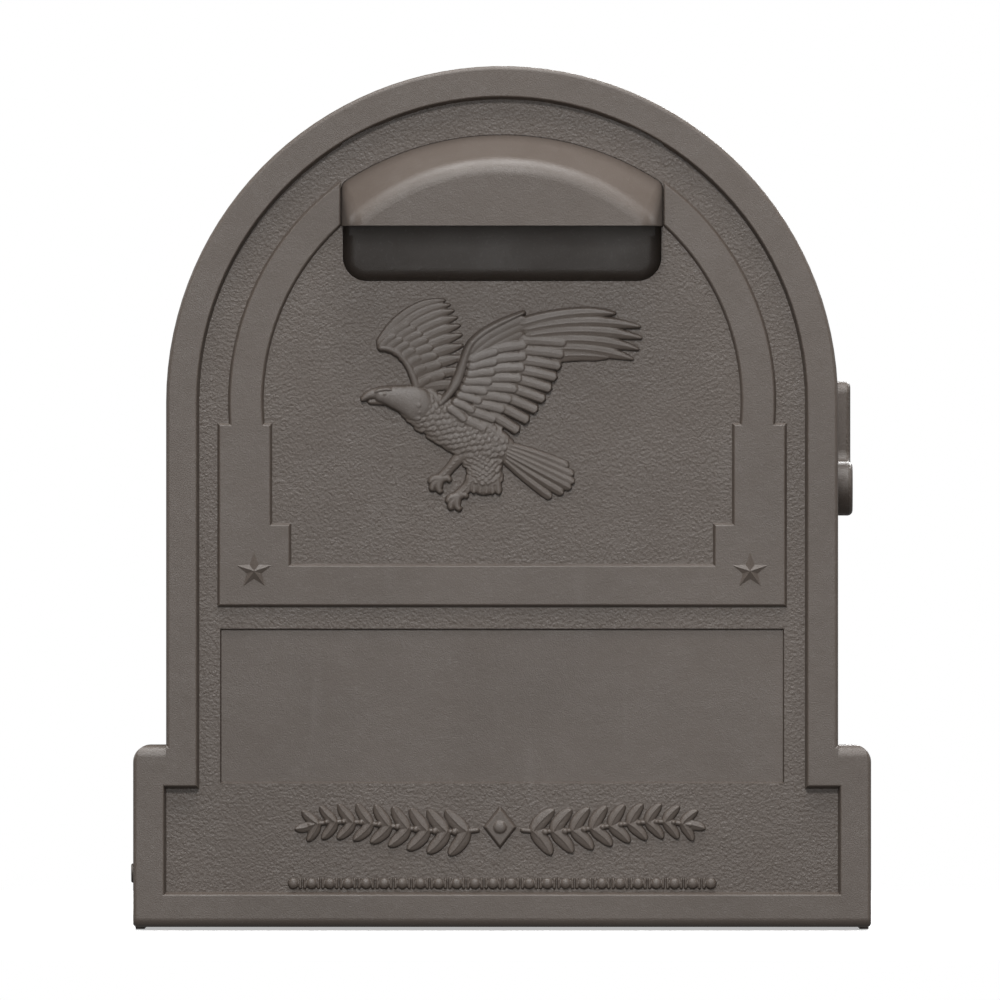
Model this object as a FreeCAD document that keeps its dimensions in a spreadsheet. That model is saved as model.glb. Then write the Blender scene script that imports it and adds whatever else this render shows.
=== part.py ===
import FreeCAD, Part
import math
import os
import Sketcher
from FreeCAD import Placement, Rotation, Vector

# Kerbside post-mount mailbox in moulded plastic. Millimetres.
# Frame: +X to the right seen from the front, the front faces -Y, +Z up,
# origin at the middle of the footprint, on the surface that the skirt stands on.

doc = FreeCAD.newDocument("mailbox")
sheet = doc.addObject("Spreadsheet::Sheet", "dims")

SIZES = [
    # door outline
    ("door_foot", 1.0, "gap under the door"),
    ("door_half", 111.1, "half the door's width, and the arch's radius"),
    ("arch_centre", 174.6, "height of the arch's centre"),
    ("ear_half", 122.0, "half the width of the door's wide foot"),
    ("ear_top", 61.2, "height of the wide foot"),
    ("ear_corner", 5.6, "rounding of the foot's upper corners"),
    ("ear_round", 4.0, "rounding of the wide foot's upper front edge"),
    ("door_front", -237.0, "front of the raised border"),
    ("door_rear", -206.0, "rear edge of the door's rim"),
    ("door_wall", 3.0, "door wall"),
    ("door_edge", 1.3, "rounding of the door's front edge"),
    ("sill_edge", 3.0, "rounding of the door's lower front edge"),
    ("border", 10.1, "width of the raised border"),
    ("sill", 10.7, "height of the border under the field"),
    ("ear_step", 13.6, "border width over the wide foot"),
    ("recess", 3.5, "depth of the field inside the border"),
    ("border_foot", 0.9, "reach of the border's sloping inner wall"),
    ("soft_edge", 0.6, "small rounding of raised edges"),
    ("lip_depth", 22.0, "depth of the wall under the door"),
    ("margin", 1.0, "how far a cutting block reaches past what it cuts"),
    # screws in plastic
    ("screw_radius", 1.75, "shank of the plastic screws"),
    ("screw_hole", 1.95, "clearance hole of the plastic screws"),
    ("screw_head", 3.6, "head of the plastic screws"),
    ("screw_head_height", 2.0, "height of the plastic screws' heads"),
    # raised frame and name panel
    ("relief", 1.5, "height of the raised frame over the field"),
    ("relief_foot", 0.7, "reach of the frame's sloping walls"),
    ("frame_half", 93.5, "half the frame's width"),
    ("frame_foot", 107.5, "underside of the frame"),
    ("frame_bar", 120.4, "top of the frame's lower bar"),
    ("frame_step", 133.9, "height of the inner step"),
    ("frame_shoulder", 167.0, "height of the pillars"),
    ("step_half", 70.4, "inner half-width below the step"),
    ("pillar_half", 76.7, "inner half-width of the pillars"),
    ("band_outer", 90.0, "outer radius of the arched band"),
    ("band_inner", 79.5, "inner radius of the arched band"),
    ("plaque_half", 93.3, "half the name panel's width"),
    ("plaque_foot", 48.5, "lower edge of the name panel"),
    ("plaque_top", 99.7, "upper edge of the name panel"),
    ("plaque_depth", 1.0, "depth of the name panel in the field"),
    ("plaque_foot_reach", 0.5, "reach of the name panel's sloping walls"),
    ("star_x", 82.0, "distance of a star from the middle"),
    ("star_z", 118.7, "height of the stars"),
    ("star_radius", 6.2, "reach of a star's points"),
    ("star_height", 1.1, "height of a star's peak over the frame"),
    # handle
    ("hood_half", 53.2, "half the hood's width"),
    ("hood_foot", 232.8, "underside of the hood"),
    ("hood_top", 262.9, "top of the hood"),
    ("hood_radius", 95.7, "radius of the hood's upper edge"),
    ("hood_depth", 25.5, "reach of the hood in front of the field"),
    ("hood_wall", 2.5, "wall of the handle moulding"),
    ("hood_corner", 4.0, "rounding of the hood's upper corners"),
    ("face_half", 50.5, "half the width of the hood's front face"),
    ("face_top", 254.3, "top of the hood's front face"),
    ("face_radius", 73.4, "radius of the front face's upper edge"),
    ("face_corner", 9.0, "rounding of the front face's upper corners"),
    ("hood_crest", 6.5, "rounding between the hood's front face and its top"),
    ("seam", 0.2, "gap between the hood and the door panel"),
    ("pocket_half", 52.7, "half the finger pocket's width"),
    ("pocket_foot", 214.6, "lowest point of the finger pocket"),
    ("pocket_corner", 8.0, "rounding of the pocket's lower corners"),
    ("pocket_depth", 21.0, "depth of the cup behind the door panel"),
    ("handle_tab_x", 66.0, "distance of a handle screw from the middle"),
    ("tab_low", 222.0, "height of the lower handle screws"),
    ("tab_high", 240.0, "height of the upper handle screws"),
    ("tab_reach", 5.0, "reach of the handle's tabs past their screws"),
    ("boss_length", 6.0, "length of the screw bosses"),
    ("boss_radius", 4.5, "radius of the screw bosses"),
    ("window_depth", 14.0, "depth cut through the door panel for the handle"),
    ("flange_reach", 4.0, "reach of the handle's flange past the hood"),
    ("cup_wall", 2.7, "wall of the cup behind the finger pocket"),
    ("cup_edge", 4.8, "rounding of the cup's lower rear edge"),
    # catch
    ("strike_z", 273.0, "height of the strike plate's middle"),
    ("strike_half", 11.5, "half the strike plate's width"),
    ("strike_rise", 5.0, "half the strike plate's height"),
    ("strike_wall", 1.5, "thickness of the strike plate"),
    ("rivet_x", 9.3, "distance of a strike rivet from the middle"),
    ("rivet_radius", 1.2, "strike rivet"),
    ("rivet_grip", 1.8, "depth of a strike rivet in the door"),
    ("rivet_head_height", 0.5, "height of a strike rivet's head"),
    ("catch_half", 19.0, "half the catch housing's width"),
    ("catch_front", -227.6, "front of the catch housing"),
    ("catch_rear", -206.0, "rear of the catch housing"),
    ("catch_foot", 266.5, "underside of the catch housing"),
    ("catch_top", 277.0, "top of the catch housing"),
    ("catch_screw_x", 14.5, "distance of a catch screw from the middle"),
    ("catch_screw", 1.4, "shank of the catch screws"),
    ("catch_screw_hole", 1.6, "clearance hole of the catch screws"),
    ("catch_screw_head", 2.8, "head of the catch screws"),
    ("catch_access", 3.2, "radius and depth of the holes to the catch screws' heads"),
    ("magnet_half", 5.0, "half the magnet's width"),
    ("pole_wall", 1.5, "thickness of a pole plate"),
    ("magnet_foot", 268.7, "underside of the magnet"),
    ("magnet_top", 275.2, "top of the magnet"),
    ("magnet_rear", -211.0, "rear of the magnet"),
    ("pole_front", -228.6, "front edges of the pole plates"),
    # hinge
    ("hinge_y", -229.5, "hinge axis, from front to rear"),
    ("hinge_z", 18.8, "hinge axis, height"),
    ("pin_radius", 2.0, "hinge pin"),
    ("pin_head", 3.2, "radius of the hinge pin's head"),
    ("pin_sink", 1.0, "depth of the head's seat"),
    ("pin_proud", 0.7, "how far the left head stands out"),
    ("pin_dome", 0.6, "rounding of the left head"),
    ("pin_play", 0.06, "radial play of the hinge pins"),
    ("lug_inner", 114.6, "inner face of a hinge lug"),
    ("lug_outer", 118.7, "outer face of a hinge lug"),
    ("lug_radius", 4.2, "rounding of a hinge lug"),
    ("lug_gap", 0.3, "gap round a hinge lug"),
    ("lug_shoulder", 15.4, "height of the lug's arm over the hinge axis"),
    ("lug_top", 30.0, "top of the lug's arm over the hinge axis"),
    ("lug_root", 15.0, "length of the lug's root along the shell"),
    # body shell
    ("shell_half", 108.8, "half the shell's width, and its arch's radius"),
    ("shell_wall", 3.0, "shell wall"),
    ("shell_front", -205.5, "front edge of the shell"),
    ("shell_rear", 256.0, "rear edge of the shell"),
    ("skirt_half", 121.5, "half the skirt's width"),
    ("skirt_top", 57.0, "height of the skirt"),
    ("band_half", 110.8, "half-width over the bands at the shell's ends"),
    ("band_length", 15.0, "length of the bands at the shell's ends"),
    ("collar_outer", 107.5, "outer half-width of the weather collar"),
    ("collar_wall", 2.7, "wall of the weather collar"),
    ("collar_front", -228.0, "front edge of the weather collar"),
    ("collar_foot", 60.0, "lower ends of the weather collar"),
    # floor
    ("floor_under", 33.7, "underside of the mail floor"),
    ("floor_wall", 3.0, "thickness of the mail floor"),
    ("floor_front", -215.5, "front edge of the mail floor"),
    ("floor_rear", 249.0, "rear edge of the mail floor"),
    ("floor_half", 118.2, "half the floor's width"),
    ("nose_half", 114.2, "half the floor's width between the lugs"),
    ("nose_length", 27.5, "length of the narrower nose"),
    ("rib_height", 1.5, "height of the floor ribs"),
    ("rib_width", 4.0, "width of the floor ribs"),
    ("rib_pitch", 24.0, "spacing of the floor ribs"),
    ("ledge_inner", 104.0, "inner edge of the floor's ledges"),
    ("ledge_height", 6.0, "thickness of the floor's ledges"),
    ("ledge_screw", 7.0, "distance of a floor screw from the ledge's edge"),
    ("rib_end", 6.0, "gap between a floor rib and the floor's ends"),
    ("rib_edge", 0.7, "rounding of the floor ribs"),
    ("small_edge", 1.2, "rounding of the floor's front and of the rear cover"),
    ("floor_screw_pitch", 170.0, "spacing of the floor screws"),
    # rear cover
    ("cover_wall", 3.0, "thickness of the rear cover"),
    ("cover_border", 10.0, "border width of the rear cover"),
    ("cover_recess", 1.2, "depth of the rear cover's field"),
    ("spigot_length", 6.0, "reach of the cover's rim into the shell"),
    ("spigot_outer", 105.4, "outer half-width of the cover's rim"),
    ("spigot_wall", 2.7, "wall of the cover's rim"),
    ("spigot_gap", 0.4, "gap between the rear cover and the shell's inner wall"),
    ("cover_boss", 5.5, "radius of the cover screws' bosses"),
    ("cover_boss_length", 20.0, "length of the cover screws' bosses"),
    ("cover_screw_length", 22.0, "length of the cover screws"),
    ("cover_seat", 4.0, "radius of the seats for the cover screws' heads"),
    ("corner_screw", 5.0, "distance of the lower cover screws from the skirt's walls"),
    ("cover_screw_radius", 101.0, "distance of the upper cover screws from the arch's centre"),
    ("cover_screw_z", 100.0, "height of the middle cover screws"),
    # flag
    ("flag_y", -120.0, "flag pivot, from front to rear"),
    ("flag_z", 146.0, "flag pivot, height"),
    ("arm_half", 9.0, "half the flag arm's height"),
    ("blade_start", -45.0, "where the flag's blade begins"),
    ("blade_end", 30.0, "where the flag's blade ends"),
    ("blade_top", 182.0, "upper edge of the flag's blade"),
    ("flag_inner", 111.6, "inner face of the flag"),
    ("flag_outer", 117.0, "outer face of the flag"),
    ("hub_inner", 109.9, "inner face of the flag's hub"),
    ("hub_radius", 11.0, "radius of the flag's hub"),
    ("flag_edge", 1.8, "rounding of the flag's outer edge"),
    ("flag_recess", 0.8, "depth of the flag's field"),
    ("flag_border", 5.0, "border of the flag's field"),
    ("bolt_radius", 3.0, "flag pivot bolt"),
    ("bolt_play", 0.05, "radial play of the flag on its bolt"),
    ("bolt_seat", 114.1, "where the bolt head's seat in the hub begins"),
    ("bolt_head", 6.2, "radius of the flag bolt's head"),
    ("bolt_head_height", 2.3, "height of the flag bolt's head"),
    ("bolt_length", 18.6, "length of the flag bolt"),
    ("bolt_head_seat", 6.8, "radius of the seat for the flag bolt's head"),
    ("bushing_radius", 4.5, "outer radius of the flag's bushing"),
    ("washer_radius", 5.2, "radius of the friction washer and of the spring washer"),
    ("flat_washer", 7.0, "radius of the flat washer"),
    ("nut_radius", 5.77, "radius over the nut's corners"),
    ("nut_height", 5.0, "height of the nut"),
    ("blade_corner", 4.0, "rounding of the blade's corners"),
    ("flag_peg", 1.5, "radius of the flag's stop peg"),
    ("flag_peg_reach", 7.5, "distance of the stop peg from the pivot"),
    # mounting
    ("mount_hole", 2.6, "radius of the mounting holes in the skirt"),
    ("mount_z", 15.0, "height of the mounting holes"),
    ("mount_half", 150.0, "half the spacing of the mounting holes"),
    ("mount_shift", 25.0, "middle of the mounting holes, from front to rear"),
]
for row, (alias, size, note) in enumerate(SIZES, start=1):
    sheet.set(f"A{row}", note)
    sheet.set(f"B{row}", str(size))
    sheet.setAlias(f"B{row}", alias)
doc.recompute()

ALIASES = {alias for alias, size, note in SIZES}
NODES = {}


def value(text):
    """The number that an expression over the sheet's aliases gives."""
    return float(sheet.evalExpression(dims(text)))


def dims(text):
    """An expression with the sheet's name put before each alias."""
    words = []
    word = ""
    for letter in text + " ":
        if letter.isalnum() or letter == "_":
            word += letter
            continue
        if word in ALIASES:
            word = "dims." + word
        words.append(word + letter)
        word = ""
    return "".join(words).strip()


def node(name, piece):
    """Name a finished sub-part."""
    piece.Label = name
    NODES[name] = piece
    return piece


def bind(piece, **sizes):
    """Bind properties to expressions over the sheet."""
    for name, text in sizes.items():
        piece.setExpression(name, dims(text))
    return piece


def place(piece, spot, rotation=Rotation()):
    """Put a primitive at a spot given as three expressions."""
    piece.Placement = Placement(Vector(*[value(text) for text in spot]), rotation)
    for axis, text in zip("xyz", spot):
        piece.setExpression(f"Placement.Base.{axis}", dims(text))
    return piece


ALONG_X = Rotation(Vector(0, 0, 1), Vector(1, 0, 0))
ALONG_Y = Rotation(Vector(0, 0, 1), Vector(0, 1, 0))
ALONG_Z = Rotation()
FORWARDS = Rotation(Vector(0, 0, 1), Vector(0, -1, 0))
INWARDS = Rotation(Vector(0, 0, 1), Vector(-1, 0, 0))
DOWNWARDS = Rotation(Vector(1, 0, 0), 180)


def box(name, low, high):
    """A block between two corners given as expressions."""
    block = doc.addObject("Part::Box", name)
    spans = [f"({top}) - ({base})" for base, top in zip(low, high)]
    bind(block, Length=spans[0], Width=spans[1], Height=spans[2])
    return place(block, low)


def cylinder(name, spot, radius, length, rotation):
    """A round bar from a spot along the rotation's axis."""
    bar = doc.addObject("Part::Cylinder", name)
    bind(bar, Radius=radius, Height=length)
    return place(bar, spot, rotation)


def fuse(name, pieces):
    """One solid from several that touch."""
    joined = doc.addObject("Part::MultiFuse", name)
    joined.Shapes = pieces
    return joined


def cut(name, base, tool):
    """Take one piece away from another, and check that it cuts."""
    left = doc.addObject("Part::Cut", name)
    left.Base = base
    left.Tool = tool
    doc.recompute()
    if left.Shape.Volume >= base.Shape.Volume:
        raise ValueError(f"{name} cuts nothing")
    return left


def common(name, first, second):
    """What two pieces share."""
    shared = doc.addObject("Part::MultiCommon", name)
    shared.Shapes = [first, second]
    return shared


def group(name, pieces):
    """Separate solids that share one node."""
    gathered = doc.addObject("Part::Compound", name)
    gathered.Links = pieces
    return gathered


# Sketches and features of a body


def origin_plane(body, role):
    """One of a body's own base planes."""
    return next(part for part in body.Origin.OriginFeatures if part.Role == role)


def sketch(body, name, role, offset):
    """A sketch parallel to an origin plane; offset is measured along the plane's normal."""
    drawing = body.newObject("Sketcher::SketchObject", name)
    drawing.AttachmentSupport = [(origin_plane(body, role), "")]
    drawing.MapMode = "FlatFace"
    drawing.setExpression(".AttachmentOffset.Base.z", dims(offset))
    return drawing


def pin(drawing, edge, end, across, up):
    """Hold one end of an edge at two expressions."""
    for kind, text, axis in (("DistanceX", across, -2), ("DistanceY", up, -1)):
        size = value(text)
        if abs(size) < 1e-9:
            drawing.addConstraint(Sketcher.Constraint("PointOnObject", edge, end, axis))
            continue
        ends = (-1, 1, edge, end) if size > 0 else (edge, end, -1, 1)
        index = drawing.addConstraint(Sketcher.Constraint(kind, *ends, abs(size)))
        sign = "" if size > 0 else "-"
        drawing.setExpression(f"Constraints[{index}]", f"{sign}({dims(text)})")


def outline(drawing, corners, arcs=None):
    """A closed outline through corners. arcs maps a corner's index to the expressions of the
    centre that the stretch after it turns about, anticlockwise."""
    arcs = arcs or {}
    spots = [Vector(value(across), value(up), 0) for across, up in corners]
    edges = []
    for index, start in enumerate(spots):
        end = spots[(index + 1) % len(spots)]
        if index in arcs:
            centre = Vector(value(arcs[index][0]), value(arcs[index][1]), 0)
            first = math.atan2(start.y - centre.y, start.x - centre.x)
            last = math.atan2(end.y - centre.y, end.x - centre.x)
            if last <= first:
                last += 2 * math.pi
            circle = Part.Circle(centre, Vector(0, 0, 1), (start - centre).Length)
            edges.append(drawing.addGeometry(Part.ArcOfCircle(circle, first, last)))
        else:
            edges.append(drawing.addGeometry(Part.LineSegment(start, end)))
    for index, edge in enumerate(edges):
        following = edges[(index + 1) % len(edges)]
        drawing.addConstraint(Sketcher.Constraint("Coincident", edge, 2, following, 1))
        pin(drawing, edge, 1, *corners[index])
    for index, centre in arcs.items():
        start = spots[index]
        end = spots[(index + 1) % len(spots)]
        kind = "DistanceX" if abs(start.x - end.x) < 1e-6 else "DistanceY"
        text = centre[0] if kind == "DistanceX" else centre[1]
        size = value(text)
        ends = (-1, 1, edges[index], 3) if size > 0 else (edges[index], 3, -1, 1)
        constraint = drawing.addConstraint(Sketcher.Constraint(kind, *ends, abs(size)))
        sign = "" if size > 0 else "-"
        drawing.setExpression(f"Constraints[{constraint}]", f"{sign}({dims(text)})")


def pad(body, drawing, length, reverse=False, lean="0"):
    """Add the sketch's outline as a solid of a length; its walls lean outwards by an angle."""
    feature = body.newObject("PartDesign::Pad", drawing.Name + "_pad")
    feature.Profile = drawing
    feature.Reversed = reverse
    drawing.Visibility = False
    bind(feature, Length=length, TaperAngle=lean)
    return grown(body, feature, 1)


def pocket(body, drawing, length, reverse=False, lean="0"):
    """Cut the sketch's outline away to a depth; the walls lean outwards by an angle."""
    feature = body.newObject("PartDesign::Pocket", drawing.Name + "_pocket")
    feature.Profile = drawing
    feature.Reversed = reverse
    bind(feature, Length=length, TaperAngle=lean)
    return grown(body, feature, -1)


def grown(body, feature, sign):
    """Check that a feature added (sign 1) or removed (sign -1) volume."""
    before = feature.BaseFeature.Shape.Volume if feature.BaseFeature else 0.0
    doc.recompute()
    if (body.Shape.Volume - before) * sign <= 0:
        raise ValueError(f"{feature.Name} changed the volume the wrong way")
    return feature


def rounded(body, name, radius, chosen):
    """Round the edges of a body's tip for which chosen(edge) is true."""
    tip = body.Tip
    names = [f"Edge{index}" for index, edge in enumerate(tip.Shape.Edges, start=1) if chosen(edge)]
    if not names:
        raise ValueError(f"{name} finds no edges")
    feature = body.newObject("PartDesign::Fillet", name)
    feature.Base = (tip, names)
    bind(feature, Radius=radius)
    doc.recompute()
    if feature.Shape.isNull():
        raise ValueError(f"{name} can't round its edges")
    return feature


def lies_at(edge, axis, position, slack=0.01):
    """True for an edge that lies wholly in a plane across an axis."""
    span = edge.BoundBox
    low = getattr(span, axis + "Min")
    high = getattr(span, axis + "Max")
    return abs(low - position) < slack and abs(high - position) < slack


def arch_corners(half, foot):
    """Corners of a plain arched outline, from the lower left, and its arc."""
    corners = [(f"-({half})", foot), (half, foot), (half, "arch_centre"),
               (f"-({half})", "arch_centre")]
    return corners, {2: ("0", "arch_centre")}


def eared_corners(ear, foot, top, half):
    """Corners of an arched outline with a wider foot, and its arc."""
    corners = [(f"-({ear})", foot), (ear, foot), (ear, top), (half, top), (half, "arch_centre"),
               (f"-({half})", "arch_centre"), (f"-({half})", top), (f"-({ear})", top)]
    return corners, {4: ("0", "arch_centre")}


# Fasteners


def screw(name, spot, rotation, shank, length, head, thickness):
    """A pan-head screw with a cross recess; its head starts at the spot and the shank follows."""
    bar = cylinder(name + "_shank", spot, shank, length, rotation)
    back = rotation.multVec(Vector(0, 0, -1))
    offsets = [f"{text} + ({component:g}) * {thickness}" for text, component in zip(spot, back)]
    cap = doc.addObject("Part::Cone", name + "_head")
    bind(cap, Radius1=f"{head} * 0.72", Radius2=head, Height=thickness)
    place(cap, offsets, rotation)
    body = fuse(name + "_body", [bar, cap])
    slots = []
    for turn in (0, 90):
        slot = doc.addObject("Part::Box", f"{name}_slot{turn}")
        bind(slot, Length=f"{head} * 1.1", Width=f"{head} * 0.26", Height=f"{thickness} * 0.6")
        turned = rotation.multiply(Rotation(Vector(0, 0, 1), turn))
        shift = turned.multVec(Vector(-value(head) * 0.55, -value(head) * 0.13, 0))
        centre = Vector(*[value(text) for text in offsets])
        slot.Placement = Placement(centre + shift, turned)
        slots.append(slot)
    cross = fuse(name + "_cross", slots)
    doc.recompute()
    return cut(name, body, cross)


def screw_row(name, spots, rotation, shank, length, head, thickness):
    """Identical screws in one group."""
    pieces = []
    for index, spot in enumerate(spots, start=1):
        pieces.append(screw(f"{name}_{index}", spot, rotation, shank, length, head, thickness))
    return group(name, pieces)


def holes(name, base, spots, rotation, radius, length):
    """Cut a row of round holes; each starts at its spot."""
    bars = []
    for index, spot in enumerate(spots, start=1):
        bars.append(cylinder(f"{name}_bar{index}", spot, radius, length, rotation))
    tool = fuse(name + "_bars", bars) if len(bars) > 1 else bars[0]
    doc.recompute()
    return cut(name, base, tool)


# Door


def star(across):
    """One faceted five-pointed star, its peak towards the front."""
    face = value("door_front + recess - relief")
    height = value("star_z")
    outer = value("star_radius")
    rim = []
    for step in range(10):
        reach = outer if step % 2 == 0 else outer * 0.42
        angle = math.pi / 2 + step * math.pi / 5
        rim.append(Vector(across + reach * math.cos(angle), face, height + reach * math.sin(angle)))
    peak = Vector(across, face - value("star_height"), height)
    root = [point + Vector(0, 0.5, 0) for point in rim]
    faces = [Part.Face(Part.makePolygon(root + root[:1]))]
    for index, point in enumerate(rim):
        other = (index + 1) % len(rim)
        faces.append(Part.Face(Part.makePolygon([point, rim[other], peak, point])))
        side = [point, rim[other], root[other], root[index], point]
        faces.append(Part.Face(Part.makePolygon(side)))
    solid = Part.Solid(Part.Shell(faces))
    if solid.Volume < 0:
        solid.reverse()
    piece = doc.addObject("Part::Feature", "star")
    piece.Shape = solid
    return piece


def within_border(edge):
    """True for an edge whose middle lies inside the middle line of the door's border."""
    middle = edge.valueAt((edge.FirstParameter + edge.LastParameter) / 2)
    inset = value("border") / 2
    half = value("door_half") - inset
    rise = middle.z - value("arch_centre")
    if rise > 0:
        return math.hypot(middle.x, rise) < half
    if middle.z > value("ear_top") - inset:
        return abs(middle.x) < half
    return abs(middle.x) < value("ear_half") - inset and middle.z > value("door_foot") + inset


def door_slab():
    """The panel with its rim: border, field, frame and name panel."""
    body = doc.addObject("PartDesign::Body", "door_slab")
    front = "-(door_front)"

    drawing = sketch(body, "door_outline", "XZ_Plane", front)
    outline(drawing, *eared_corners("ear_half", "door_foot", "ear_top", "door_half"))
    pad(body, drawing, "door_rear - door_front", reverse=True)

    drawing = sketch(body, "field", "XZ_Plane", front)
    outline(drawing, *eared_corners(
        "ear_half - border", "door_foot + sill", "ear_top - ear_step", "door_half - border"))
    pocket(body, drawing, "recess", lean="-atan(border_foot / recess)")
    front_y = value("door_front")
    rounded(body, "border_edge", "soft_edge", lambda edge: (
        lies_at(edge, "Y", front_y) and within_border(edge)))

    ear_half = value("ear_half")
    ear_top = value("ear_top")
    rounded(body, "ear_corners", "ear_corner", lambda edge: (
        lies_at(edge, "Z", ear_top) and edge.BoundBox.XLength < 0.01
        and abs(abs(edge.BoundBox.XMax) - ear_half) < 0.01))
    rounded(body, "lower_edge", "sill_edge", lambda edge: (
        lies_at(edge, "Y", front_y) and lies_at(edge, "Z", value("door_foot"))))
    rounded(body, "front_edge", "door_edge", lambda edge: (
        lies_at(edge, "Y", front_y) and not within_border(edge)
        and edge.BoundBox.ZMax > value("door_foot + sill_edge + margin")))

    # raised stepped frame
    field_plane = "-(door_front + recess)"
    frame_plane = "-(door_front + recess - relief)"
    root = "sqrt(band_outer ^ 2 - (arch_centre - frame_shoulder) ^ 2)"
    drawing = sketch(body, "frame_outer", "XZ_Plane", frame_plane)
    outline(drawing, [
        ("-(frame_half)", "frame_foot"), ("frame_half", "frame_foot"),
        ("frame_half", "frame_shoulder"), (root, "frame_shoulder"),
        (f"-({root})", "frame_shoulder"), ("-(frame_half)", "frame_shoulder")],
        {3: ("0", "arch_centre")})
    pad(body, drawing, "relief", reverse=True, lean="atan(relief_foot / relief)")
    bar, step, shoulder = [f"{edge} + relief_foot" for edge in ("frame_bar", "frame_step",
                                                                "frame_shoulder")]
    narrow = "step_half - relief_foot"
    wide = "pillar_half - relief_foot"
    root = f"sqrt((band_inner - relief_foot) ^ 2 - (arch_centre - ({shoulder})) ^ 2)"
    drawing = sketch(body, "frame_inner", "XZ_Plane", field_plane)
    outline(drawing, [
        (f"-({narrow})", bar), (narrow, bar), (narrow, step), (wide, step), (wide, shoulder),
        (root, shoulder), (f"-({root})", shoulder), (f"-({wide})", shoulder),
        (f"-({wide})", step), (f"-({narrow})", step)], {5: ("0", "arch_centre")})
    pocket(body, drawing, "relief", reverse=True, lean="atan(relief_foot / relief)")
    drawing = sketch(body, "hood_gap", "XZ_Plane", field_plane)
    outline(drawing, [
        ("-(hood_half + seam)", "hood_foot"), ("hood_half + seam", "hood_foot"),
        ("hood_half + seam", "hood_top + 3"), ("-(hood_half + seam)", "hood_top + 3")])
    pocket(body, drawing, "relief", reverse=True)
    frame_y = value("door_front + recess - relief")
    rounded(body, "frame_edge", "soft_edge", lambda edge: lies_at(edge, "Y", frame_y))

    drawing = sketch(body, "plaque", "XZ_Plane", field_plane)
    outline(drawing, [
        ("-(plaque_half)", "plaque_foot"), ("plaque_half", "plaque_foot"),
        ("plaque_half", "plaque_top"), ("-(plaque_half)", "plaque_top")])
    pocket(body, drawing, "plaque_depth", lean="-atan(plaque_foot_reach / plaque_depth)")

    # hollow behind
    drawing = sketch(body, "hollow", "XZ_Plane", "-(door_rear)")
    outline(drawing, *eared_corners(
        "ear_half - door_wall", "door_foot + door_wall", "ear_top - door_wall",
        "door_half - door_wall"))
    pocket(body, drawing, "door_rear - door_front - recess - door_wall", reverse=True)
    return body


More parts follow.
